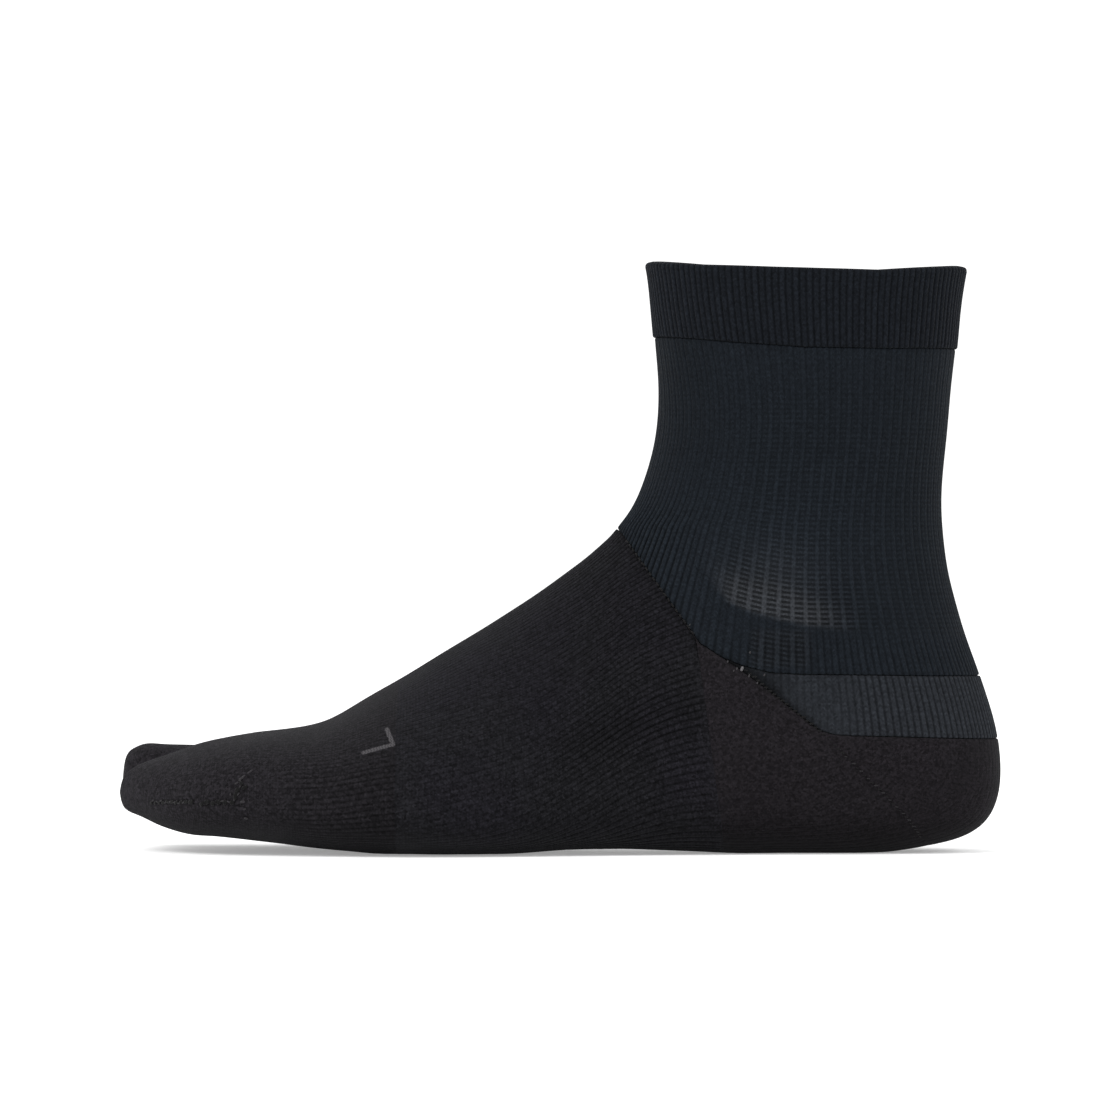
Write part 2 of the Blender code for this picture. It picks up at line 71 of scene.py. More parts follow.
#            fx     fz      bx     bz    lat   med   wl    wm    ry    by    nfl  nbl  nfm  nbm
SECTIONS = (
    (      -46.8, 178.5,   50.2, 178.0,  38.5, 38.5, .52,  .52,  0.0,  0.0,  2.1, 2.1, 2.1, 2.1),
    (      -45.8, 174.6,   49.1, 173.0,  38.0, 38.0, .52,  .52,  0.0,  0.0,  2.1, 2.1, 2.1, 2.1),
    (      -43.2, 152.2,   46.5, 152.0,  35.6, 35.6, .52,  .52,  0.0,  0.0,  2.1, 2.1, 2.1, 2.1),
    (      -42.2, 140.1,   44.9, 137.2,  33.6, 33.8, .51,  .51,  0.0,  0.0,  2.1, 2.0, 2.1, 2.0),
    (      -42.8, 125.2,   43.5, 122.3,  32.2, 32.6, .50,  .50,  0.0,  0.0,  2.1, 1.9, 2.1, 1.9),
    (      -45.5, 113.3,   42.2, 107.4,  31.8, 32.4, .49,  .49,  0.0,  0.0,  2.1, 1.85, 2.1, 1.85),
    (      -48.2, 105.9,   42.8,  92.5,  32.0, 32.8, .49,  .49,  0.5,  0.0,  2.15, 1.85, 2.15, 1.85),
    (      -50.0, 102.3,   45.5,  77.1,  32.4, 33.2, .49,  .49,  1.0,  0.0,  2.2, 1.9, 2.2, 1.9),
    (      -51.5,  99.9,   50.3,  61.3,  32.6, 33.2, .50,  .50,  1.5,  0.0,  2.2, 2.0, 2.2, 2.0),
    (      -53.0,  97.9,   55.9,  44.9,  32.8, 33.0, .53,  .52,  2.0,  0.0,  2.2, 2.2, 2.2, 2.2),
    (      -54.4,  96.1,   59.5,  25.6,  33.0, 33.0, .57,  .55,  2.5,  0.0,  2.2, 2.4, 2.2, 2.4),
    (      -56.5,  93.7,   55.0,   9.2,  33.4, 33.0, .60,  .57,  3.2,  0.0,  2.15, 2.6, 2.2, 2.5),
    (      -59.5,  91.0,   38.7,   2.0,  34.0, 33.0, .60,  .57,  4.2,  0.0,  2.1, 2.7, 2.2, 2.5),
    (      -64.0,  87.1,   17.9,  -0.6,  34.6, 32.8, .58,  .54,  5.5,  0.0,  2.05, 2.8, 2.2, 2.4),
    (      -69.0,  83.2,    0.0,  -0.6,  35.4, 32.6, .58,  .52,  6.8, -1.0,  2.0, 2.8, 2.2, 2.1),
    (      -75.9,  78.2,  -17.9,  -0.4,  36.8, 32.8, .60,  .50,  8.4, -4.0,  2.0, 2.8, 2.2, 1.9),
    (      -84.8,  72.2,  -35.7,   0.6,  38.8, 33.4, .64,  .50, 10.0, -8.0,  2.0, 2.8, 2.2, 1.75),
    (      -95.3,  65.7,  -53.6,   1.2,  42.0, 34.8, .68,  .52, 11.4, -8.0,  2.0, 2.8, 2.2, 1.8),
    (     -107.2,  58.5,  -71.4,   0.7,  45.8, 37.6, .70,  .56, 12.0, -5.0,  2.0, 2.8, 2.25, 2.1),
    (     -119.2,  51.1,  -89.3,  -0.5,  49.0, 42.2, .70,  .60, 11.4, -2.0,  2.0, 2.8, 2.3, 2.6),
    (     -130.6,  44.6, -107.1,  -0.6,  50.0, 47.2, .68,  .62, 10.0,  0.0,  2.1, 2.8, 2.4, 2.8),
    (     -140.6,  39.0, -124.9,  -0.4,  48.2, 50.2, .64,  .62,  8.2,  1.0,  2.2, 2.7, 2.6, 2.8),
    (     -150.2,  36.7, -142.8,   1.1,  45.2, 49.8, .60,  .60,  6.6,  1.5,  2.3, 2.6, 2.8, 2.7),
    (     -161.4,  35.3, -160.4,   3.2,  41.0, 46.9, .58,  .57,  5.4,  1.5,  2.4, 2.5, 3.0, 2.6),
    (     -170.0,  34.4, -171.0,   4.4,  37.6, 44.4, .57,  .55,  5.0,  1.5,  2.4, 2.4, 3.0, 2.5),
)

#             x       z top  z bottom  lat    med   wl    wm    ry    by    nfl  nbl  nfm  nbm
FOUR_TOES = (
    (      -162.0,    35.2,    3.3,   40.8,  17.7, .58,  .57,  5.4,  1.5,  2.4, 2.5, 3.6, 3.4),
    (      -168.0,    34.3,    4.1,   39.0,  17.1, .58,  .56,  4.6, -1.0,  2.35, 2.5, 3.1, 3.1),
    (      -174.0,    33.2,    4.7,   35.9,  16.8, .57,  .54,  3.8, -3.4,  2.25, 2.5, 2.7, 2.8),
    (      -180.0,    31.7,    5.1,   31.0,  16.5, .56,  .53,  3.0, -5.0,  2.2, 2.4, 2.5, 2.6),
    (      -186.0,    29.6,    6.4,   24.8,  16.1, .55,  .53,  3.0, -3.4,  2.2, 2.4, 2.4, 2.5),
    (      -191.2,    27.8,    8.1,   18.4,  15.5, .54,  .52,  3.2, -1.0,  2.2, 2.3, 2.3, 2.4),
    (      -195.7,    26.1,   10.1,   12.0,  14.6, .53,  .52,  3.6,  1.0,  2.2, 2.3, 2.2, 2.3),
    (      -199.1,    24.3,   11.4,    6.0,  13.0, .52,  .51,  4.0,  2.6,  2.2, 2.2, 2.2, 2.2),
    (      -201.6,    21.6,   13.4,    0.0,  10.2, .50,  .50,  4.4,  3.8,  2.1, 2.1, 2.1, 2.1),
    (      -202.7,    17.4,   17.4,   -5.0,   5.0, .50,  .50,  5.0,  5.0,  2.0, 2.0, 2.0, 2.0),
)
BIG_TOE = (
    (      -162.0,    33.8,    4.4,  -18.3,  46.8, .57,  .57, 30.5, 29.5,  3.6, 3.4, 2.15, 1.9),
    (      -168.0,    32.7,    4.9,  -19.0,  46.9, .56,  .56, 31.4, 30.6,  3.1, 3.1, 2.2, 2.0),
    (      -174.0,    31.6,    5.4,  -19.4,  47.0, .55,  .55, 32.0, 31.4,  2.7, 2.8, 2.25, 2.15),
    (      -180.0,    30.8,    5.7,  -19.6,  46.8, .53,  .54, 32.6, 32.0,  2.5, 2.6, 2.5, 2.4),
    (      -186.0,    30.8,    6.3,  -19.5,  46.3, .52,  .53, 32.6, 32.2,  2.4, 2.5, 2.4, 2.4),
    (      -191.4,    31.0,    7.1,  -19.8,  45.3, .52,  .52, 32.4, 32.2,  2.4, 2.4, 2.4, 2.4),
    (      -196.2,    31.2,    8.4,  -20.7,  43.5, .51,  .52, 32.2, 32.2,  2.3, 2.3, 2.3, 2.3),
    (      -200.0,    29.9,   10.5,  -22.6,  40.8, .50,  .51, 32.0, 32.0,  2.2, 2.2, 2.2, 2.2),
    (      -202.5,    27.0,   14.0,  -26.0,  37.2, .50,  .50, 31.8, 31.8,  2.1, 2.1, 2.1, 2.1),
    (      -203.5,    20.0,   20.0,  -31.6,  31.6, .50,  .50, 31.6, 31.6,  2.0, 2.0, 2.0, 2.0),
)

# The ankle bones under the knit: centre in the side view, height of the bump and its radius.
ANKLE_BONES = {
    "outer":     (-3.0, 75.0, 4.6, 20.0),
    "inner":     (-8.0, 83.0, 4.6, 20.0),
}

# Seam lines in the side view, on both sides of the foot.
RIM = ((-46.5, 175.0), (-45.0, 174.7), (-30.0, 173.1), (-9.0, 172.2), (4.5, 171.8), (22.0, 171.4),
       (41.6, 172.8), (49.5, 173.5))
CUFF_SEAM = ((-46.0, 153.0), (-20.0, 150.4), (0.0, 148.9), (25.0, 148.6), (48.0, 149.2))
LEG_HEM = ((-62.0, 106.0), (-56.0, 98.2), (-53.0, 94.0), (-42.0, 78.4), (-30.4, 62.3),
           (-24.5, 58.4), (-18.7, 55.9), (-10.0, 53.6), (0.0, 53.0), (20.0, 52.9), (60.0, 52.4))
BAND_HEM = LEG_HEM[:6] + ((-18.7, 54.6), (-10.0, 48.3), (-1.2, 41.2), (5.0, 36.6), (9.0, 35.4),
                          (14.0, 35.1), (28.0, 34.8), (46.4, 34.2), (62.0, 33.6))
FOOT_BACK = ((-23.0, -5.0), (-23.2, 0.0), (-24.0, 8.5), (-26.4, 25.2), (-29.0, 45.7), (-31.6, 63.5),
             (-42.0, 78.4), (-53.0, 94.0), (-62.0, 106.0))
# where the heel turns: the slanted line of linking stitches across the heel cup
GORE = ((-18.7, 55.9), (-10.0, 48.3), (-1.2, 41.2), (6.1, 35.4), (17.8, 23.7), (29.7, 11.9),
        (35.1, 4.8), (37.5, 1.6))


# ---------------------------------------------------------------- curves and the loft
def smooth_curve(knots, values):
    """A natural cubic through (knot, value) pairs, as a function of an array."""
    x = np.asarray(knots, float)
    y = np.asarray(values, float)
    n = len(x)
    h = np.diff(x)
    a = np.eye(n)
    r = np.zeros(n)
    for i in range(1, n - 1):
        a[i, i - 1] = h[i - 1]
        a[i, i] = 2.0 * (h[i - 1] + h[i])
        a[i, i + 1] = h[i]
        r[i] = 6.0 * ((y[i + 1] - y[i]) / h[i] - (y[i] - y[i - 1]) / h[i - 1])
    m = np.linalg.solve(a, r)

    def at(q):
        q = np.clip(np.asarray(q, float), x[0], x[-1])
        k = np.clip(np.searchsorted(x, q, side="right") - 1, 0, n - 2)
        t0 = q - x[k]
        t1 = x[k + 1] - q
        return ((m[k] * t1 ** 3 + m[k + 1] * t0 ** 3) / (6.0 * h[k])
                + (y[k] / h[k] - m[k] * h[k] / 6.0) * t1
                + (y[k + 1] / h[k] - m[k + 1] * h[k] / 6.0) * t0)
    return at


def line_through(points, x_of_z=False):
    """A side-view line as a straight-sided function: z at x, or x at z."""
    p = np.asarray(points, float)
    if x_of_z:
        return lambda z: np.interp(z, p[:, 1], p[:, 0])
    return lambda x: np.interp(x, p[:, 0], p[:, 1])


def ease(x, lo, hi):
    """0 below lo, 1 above hi, smooth between."""
    t = np.clip((np.asarray(x, float) - lo) / (hi - lo), 0.0, 1.0)
    return t * t * (3.0 - 2.0 * t)


def bell(x, middle, width):
    return np.exp(-((np.asarray(x, float) - middle) / width) ** 2)


class Skin:
    """A surface kept as a fine grid of points over s (along) and v (round), read back smoothly."""

    def __init__(self, grid, start, end):
        first = 2.0 * grid[:1] - grid[1:2]
        last = 2.0 * grid[-1:] - grid[-2:-1]
        self.grid = np.concatenate([first, grid, last])
        self.fine = grid.shape[:2]
        self.start, self.end = start, end

    def point(self, s, v):
        rows, count = self.fine
        s, v = np.broadcast_arrays(np.asarray(s, float), np.asarray(v, float))
        a = np.clip((s - self.start) / (self.end - self.start), 0.0, 1.0) * (rows - 1)
        b = np.mod(v, 1.0) * count
        i = np.clip(np.floor(a).astype(int), 0, rows - 2)
        j = np.floor(b).astype(int)
        fa, fb = a - i, b - j

        def weights(t):
            return (0.5 * (-t + 2 * t ** 2 - t ** 3), 0.5 * (2 - 5 * t ** 2 + 3 * t ** 3),
                    0.5 * (t + 4 * t ** 2 - 3 * t ** 3), 0.5 * (-t ** 2 + t ** 3))

        total = np.zeros(s.shape + (3,))
        for di, wi in enumerate(weights(fa)):
            for dj, wj in enumerate(weights(fb)):
                total += (wi * wj)[..., None] * self.grid[i + di, (j + dj - 1) % count]
        return total

    def cross(self, v, test, lo, hi):
        """The s at which test(x, z) turns positive, along each column v."""
        s = np.linspace(lo, hi, 801)
        v = np.asarray(v, float)
        p = self.point(s[:, None], v[None, :])
        f = test(p[..., 0], p[..., 2])
        first = np.clip(np.argmax(f > 0.0, axis=0), 1, len(s) - 1)
        c = np.arange(len(v))
        f0, f1 = f[first - 1, c], f[first, c]
        w = np.clip(-f0 / np.where(np.abs(f1 - f0) < 1e-9, 1e-9, f1 - f0), 0.0, 1.0)
        return s[first - 1] + w * (s[1] - s[0])

    def step(self, s, v):
        return np.linalg.norm(self.point(s + 0.4, v) - self.point(s - 0.4, v), axis=-1) / 0.8


class Loft(Skin):
    """Sections (fx fz bx bz lat med wl wm ry by nfl nbl nfm nbm) joined by smooth curves."""

    def __init__(self, rows, knots, bumps=(), fine=(340, 720)):
        self.knots = np.asarray(knots, float)
        table = np.asarray(rows, float)
        self.columns = [smooth_curve(self.knots, table[:, c]) for c in range(table.shape[1])]
        self.bumps = bumps
        last = self.knots[-1]
        self.guide = np.linspace(0.0, last, 4001)
        self.ends = [c(self.guide) for c in self.columns[:4]]
        s = np.linspace(0.0, last, fine[0])
        v = np.arange(fine[1]) / fine[1]
        super().__init__(np.concatenate([self.exact(part[:, None], v[None, :])
                                         for part in np.array_split(s, max(1, fine[0] // 24))]),
                         0.0, last)

    def exact(self, s, v):
        s = np.asarray(s, float)
        v = np.mod(np.asarray(v, float), 1.0)
        s, v = np.broadcast_arrays(s, v)
        fx, fz, bx, bz, lat, med, wl, wm, ry, by, nfl, nbl, nfm, nbm = [c(s) for c in self.columns]
        outer = v < 0.5
        t = np.where(outer, v, 1.0 - v) * 2.0
        side = np.where(outer, -lat, med)
        wide = np.where(outer, wl, wm)
        nf = np.where(outer, nfl, nfm)
        nb = np.where(outer, nbl, nbm)
        length = np.hypot(bx - fx, bz - fz)

        def quarter(phi, n):
            c, d = np.cos(phi), np.sin(phi)
            r = (np.abs(c) ** n + np.abs(d) ** n) ** (-1.0 / n)
            return r * c, r * d

        def half(p):
            front = p <= 1.0
            phi = np.where(front, p, 2.0 - p) * (math.pi / 2.0)
            n = np.where(front, nf_, nb_)
            along, out = quarter(phi, n)
            u = np.where(front, wide_ * (1.0 - along), wide_ + (1.0 - wide_) * along)
            y = np.where(front, ry_ + (side_ - ry_) * out, by_ + (side_ - by_) * out)
            return u, y

        steps = np.linspace(0.0, 2.0, 65)
        nf_, nb_, wide_, ry_, by_, side_ = [q[..., None] for q in (nf, nb, wide, ry, by, side)]
        u, y = half(np.broadcast_to(steps, s.shape + (65,)))
        along = np.concatenate([np.zeros(s.shape + (1,)),
                                np.cumsum(np.hypot(np.diff(u, axis=-1) * length[..., None],
                                                   np.diff(y, axis=-1)), axis=-1)], axis=-1)
        target = t * along[..., -1]
        k = np.clip((along <= target[..., None]).sum(axis=-1) - 1, 0, 63)
        a0 = np.take_along_axis(along, k[..., None], -1)[..., 0]
        a1 = np.take_along_axis(along, k[..., None] + 1, -1)[..., 0]
        p = steps[k] + (steps[1] - steps[0]) * (target - a0) / np.maximum(a1 - a0, 1e-9)
        nf_, nb_, wide_, ry_, by_, side_ = nf, nb, wide, ry, by, side
        u, y = half(p)
        x = fx + u * (bx - fx)
        z = fz + u * (bz - fz)
        y = y + self.swell(x, z, outer)
        return np.stack([x, y, np.maximum(z, 0.0)], axis=-1)

    def swell(self, x, z, outer):
        y = np.zeros(np.shape(x))
        for which, (cx, cz, high, radius) in self.bumps:
            rise = high * np.exp(-((x - cx) ** 2 + (z - cz) ** 2) / (2.0 * (radius * 0.62) ** 2))
            inside = outer if which == "outer" else ~outer
            y = y + np.where(inside, -rise if which == "outer" else rise, 0.0)
        return y

    def side(self, x, z, outer):
        """The skin's y at (x, z) in the side view."""
        x, z, outer = np.broadcast_arrays(np.asarray(x, float), np.asarray(z, float), outer)
        gfx, gfz, gbx, gbz = self.ends
        lo = np.zeros(x.shape, int)
        hi = np.full(x.shape, len(self.guide) - 1)
        for _ in range(13):
            m = (lo + hi) // 2
            f = (gbx[m] - gfx[m]) * (z - gfz[m]) - (gbz[m] - gfz[m]) * (x - gfx[m])
            hi = np.where(f > 0.0, m, hi)
            lo = np.where(f > 0.0, lo, m)
        f0 = (gbx[lo] - gfx[lo]) * (z - gfz[lo]) - (gbz[lo] - gfz[lo]) * (x - gfx[lo])
        f1 = (gbx[hi] - gfx[hi]) * (z - gfz[hi]) - (gbz[hi] - gfz[hi]) * (x - gfx[hi])
        w = np.clip(-f0 / np.where(np.abs(f1 - f0) < 1e-9, 1e-9, f1 - f0), 0.0, 1.0)
        s = self.guide[lo] + w * (self.guide[1] - self.guide[0]) * (hi - lo)
        fx, fz, bx, bz, lat, med, wl, wm, ry, by, nfl, nbl, nfm, nbm = [c(s) for c in self.columns]
        u = np.clip(((x - fx) * (bx - fx) + (z - fz) * (bz - fz))
                    / np.maximum((bx - fx) ** 2 + (bz - fz) ** 2, 1e-9), 0.0, 1.0)
        wide = np.where(outer, wl, wm)
        front = u < wide
        a = np.where(front, 1.0 - u / wide, (u - wide) / (1.0 - wide))
        n = np.where(front, np.where(outer, nfl, nfm), np.where(outer, nbl, nbm))
        out = np.maximum(1.0 - a ** n, 0.0) ** (1.0 / n)
        edge = np.where(front, ry, by)
        y = edge + (np.where(outer, -lat, med) - edge) * out
        return y + self.swell(x, z, outer)


def section_knots(rows):
    """Distance along the middle of the sections."""
    t = np.asarray(rows, float)
    mid = np.stack([(t[:, 0] + t[:, 2]) / 2.0, (t[:, 1] + t[:, 3]) / 2.0], axis=1)
    return np.concatenate([[0.0], np.cumsum(np.linalg.norm(np.diff(mid, axis=0), axis=1))])


def pocket_rows(rows):
    return [(x, top, x, low) + tuple(rest) for x, top, low, *rest in rows]


body = Loft(SECTIONS, section_knots(SECTIONS), tuple(ANKLE_BONES.items()))
toes = Loft(pocket_rows(FOUR_TOES), np.arange(len(FOUR_TOES)) * 5.0, fine=(200, 480))
thumb = Loft(pocket_rows(BIG_TOE), np.arange(len(BIG_TOE)) * 5.0, fine=(200, 480))

rim_z = line_through(RIM)
cuff_z = line_through(CUFF_SEAM)
leg_z = line_through(LEG_HEM)
band_z = line_through(BAND_HEM)
foot_x = line_through(FOOT_BACK, x_of_z=True)
gore_z = line_through(GORE)


def px(column, row):
    """A point of the photograph's 1120 x 1120 frame as x and z in the side view."""
    return -71.4 + (column - 560.0) * 0.2975, 86.6 - (row - 560.0) * 0.2975


# ---------------------------------------------------------------- the leg's wales
# Wales of the leg go straight down and courses lie level, which the fan of sections doesn't give:
# a column here keeps its share of the way round the leg at each height.
front_x = line_through(np.stack([body.ends[0], body.ends[1]], axis=1)[::-1], x_of_z=True)
heel_part = body.guide < body.knots[11]
back_x = line_through(np.stack([body.ends[2][heel_part], body.ends[3][heel_part]], axis=1)[::-1],
                      x_of_z=True)
BEND_Z = 96.6             # below it the front wales leave the outline and run into the seam
LEAN = 0.50               # how they lean there, mm forward for each mm down


def leg_front(z):
    z = np.asarray(z, float)
    return np.where(z > BEND_Z, front_x(np.maximum(z, BEND_Z)),
                    front_x(BEND_Z) - LEAN * (BEND_Z - z))


def share_round(outer):
    """How far back a column is, by its share of the way round, at a middle height."""
    z = 118.0
    u = 0.5 - 0.5 * np.cos(np.linspace(0.0, math.pi, 400))
    x = front_x(z) + u * (back_x(z) - front_x(z))
    y = body.side(x, np.full(x.shape, z), np.full(x.shape, outer))
    y[0] = y[-1] = 0.0
    along = np.concatenate([[0.0], np.cumsum(np.hypot(np.diff(x), np.diff(y)))])
    return along / along[-1], u


SHARES = {True: share_round(True), False: share_round(False)}
MIDDLE = (float(leg_front(118.0)), float(back_x(118.0)))


def leg_point(v, z):
    """Column v (0 front, 0.5 back, outer side first) at height z."""
    v, z = np.broadcast_arrays(np.mod(v, 1.0), z)
    # the knit is turned a little on the leg near the top, most at the front
    v = np.mod(v - 0.026 * np.cos(math.pi * v) ** 2 * ease(z, 118.0, 172.0), 1.0)
    outer = v < 0.5
    t = np.where(outer, v, 1.0 - v) * 2.0
    share = np.where(outer, np.interp(t, *SHARES[True]), np.interp(t, *SHARES[False]))
    x0, x1 = leg_front(z), back_x(z)
    # near the front the wales follow its line, further round they hang straight
    x = (MIDDLE[0] + share * (MIDDLE[1] - MIDDLE[0]) + (x0 - MIDDLE[0]) * (1.0 - share) ** 2.0
         + (x1 - MIDDLE[1]) * share ** 1.3)
    # and they draw together a little over the ankle bone
    off = share - 0.57
    x = x - 13.0 * off * np.exp(-(off / 0.2) ** 2) * ease(z, 116.0, 86.0)
    return np.stack([x, body.side(x, z, outer), z], axis=-1)


def leg_x(v, z):
    return leg_point(v, z)[..., 0]


def leg_cut(v, line, lo, hi):
    """The height at which column v crosses a side-view line z = line(x)."""
    lo = np.full(v.shape, float(lo))
    hi = np.full(v.shape, float(hi))
    for _ in range(26):
        m = 0.5 * (lo + hi)
        above = m > line(leg_x(v, m))
        hi = np.where(above, m, hi)
        lo = np.where(above, lo, m)
    return 0.5 * (lo + hi)


# ---------------------------------------------------------------- the foot's wales
# Along the foot a wale keeps its share of the way round in slices square to X. Behind the instep
# the way round goes on growing, and the wales run up into the slanted seam.
FOOT_NEAR, FOOT_FAR = 20.0, 170.0     # reach along -X


def foot_skin():
    instep = (-body.ends[0] > 46.0) & (body.guide > body.knots[5])
    under = body.guide > body.knots[11]
    top_z = line_through(np.stack([body.ends[0][instep], body.ends[1][instep]], axis=1)[::-1])
    sole_z = line_through(np.stack([body.ends[2][under], body.ends[3][under]], axis=1)[::-1])
    away = np.linspace(FOOT_NEAR, FOOT_FAR, 240)
    half = 361
    u = 0.5 - 0.5 * np.cos(np.linspace(0.0, math.pi, 420))
    grid = np.zeros((len(away), 2 * (half - 1), 3))
    turn = 54.4
    length, curves = {}, {}
    for outer in (True, False):
        for i, d in enumerate(away):
            x = -d
            low = float(sole_z(x))
            high = float(top_z(x)) if d > 48.5 else 106.0
            z = low + (high - low) * u
            y = body.side(np.full(z.shape, x), z, np.full(z.shape, outer))
            z = np.maximum(z, 0.0)
            run = np.concatenate([[0.0], np.cumsum(np.hypot(np.diff(y), np.diff(z)))])
            curves[outer, i] = (run, y, z)
            length[outer, i] = run[-1]
        whole = np.array([length[outer, i] for i in range(len(away))])
        at_turn = np.interp(turn, away, whole)
        grow = (at_turn - np.interp(turn + 9.0, away, whole)) / 9.0
        for i, d in enumerate(away):
            run, y, z = curves[outer, i]
            total = whole[i] if d > turn else at_turn + grow * (turn - d)
            share = np.linspace(0.0, 1.0, half)                 # 0 on top, 1 under the sole
            at = (1.0 - share) * total
            # over the arch and towards the heel the wales climb more steeply
            climb = max(0.0, 84.0 - d)
            at = at + 0.30 * climb ** 2 / (climb + 14.0) * np.sin(math.pi * share) ** 1.2
            extra = np.maximum(at - run[-1], 0.0)
            line = np.stack([np.full(half, -d), np.interp(at, run, y),
                             np.interp(at, run, z) + extra], axis=1)
            if outer:
                grid[i, :half] = line
            else:
                grid[i, half:] = line[::-1][1:-1]
    return Skin(grid, FOOT_NEAR, FOOT_FAR)


foot = foot_skin()


# ---------------------------------------------------------------- meshes
def metres(p):
    q = np.array(p, float)
    q[..., 2] -= BED
    return q * 0.001


def grid_normals(p, ring):
    """Normals of a grid of points, rows along the wales and columns round them."""
    down = np.gradient(p, axis=0)
    if ring:
        around = np.roll(p, -1, axis=1) - np.roll(p, 1, axis=1)
    else:
        around = np.gradient(p, axis=1)
    n = np.cross(down, around)
    return n / np.maximum(np.linalg.norm(n, axis=-1, keepdims=True), 1e-9)


def wale_columns(first, last, offsets):
    """Column places in wales: each wale's groove, flanks and crown."""
    u = (np.arange(first, last)[:, None] + np.asarray(offsets)[None, :]).ravel()
    return u


RIB = (0.0, 0.10, 0.28, 0.5, 0.72, 0.90)        # 0 is the groove, 0.5 the crown


def rib_depth(u, even, odd, power=2.4):
    """How deep the skin lies below the ribs' crowns, at u wales."""
    f = np.abs(u - np.floor(u) - 0.5) * 2.0
    which = np.mod(np.floor(u + 0.5), 2.0)
    depth = np.where(which > 0.5, odd, even)
    return depth * f ** power


def lip(distance, radius):
    """The turned edge: how deep the skin lies at that distance from a seam."""
    d = np.clip(distance, 0.0, radius)
    return radius - np.sqrt(np.maximum(radius ** 2 - (radius - d) ** 2, 0.0))


def edge_rows(count, lip_share):
    """Row places 0 to 1 with three extra rows close to each end."""
    ends = np.array([0.0, 0.12, 0.40, 1.0]) * lip_share
    inner = np.linspace(lip_share, 1.0 - lip_share, count)[1:-1]
    return np.concatenate([ends, inner, 1.0 - ends[::-1]])


def make_mesh(name, verts, corners, starts, uv, point_values, rim=None):
    mesh = bpy.data.meshes.new(name)
    mesh.vertices.add(len(verts))
    mesh.vertices.foreach_set("co", np.ascontiguousarray(verts, dtype=np.float32).ravel())
    mesh.loops.add(len(corners))
    mesh.loops.foreach_set("vertex_index", corners.astype(np.int32))
    mesh.polygons.add(len(starts))
    mesh.polygons.foreach_set("loop_start", starts.astype(np.int32))
    mesh.update(calc_edges=True)
    layer = mesh.uv_layers.new(name="knit")
    layer.data.foreach_set("uv", np.ascontiguousarray(uv, dtype=np.float32).ravel())
    for key, values in point_values.items():
        attribute = mesh.attributes.new(key, "FLOAT", "POINT")
        attribute.data.foreach_set("value", np.ascontiguousarray(values, dtype=np.float32))
    mesh.validate()
    mesh.shade_smooth()
    if rim is not None:
        # the cut edge keeps its own shading, so that two pieces meet without a dark line
        ends = np.empty(len(mesh.edges) * 2, dtype=np.int32)
        mesh.edges.foreach_get("vertices", ends)
        sharp = mesh.attributes.new("sharp_edge", "BOOLEAN", "EDGE")
        sharp.data.foreach_set("value", rim[ends.reshape(-1, 2)].all(axis=1))
    obj = bpy.data.objects.new(name, mesh)
    bpy.context.scene.collection.objects.link(obj)
    return obj


def signed_volume(p, corners, starts):
    first = p[corners[starts]]
    total = 0.0
    sizes = np.diff(np.append(starts, len(corners)))
    for size in np.unique(sizes):
        at = starts[sizes == size]
        a = first[sizes == size]
        for k in range(1, size - 1):
            total += np.einsum("ij,ij->i", a, np.cross(p[corners[at + k]], p[corners[at + k + 1]])).sum()
    return total


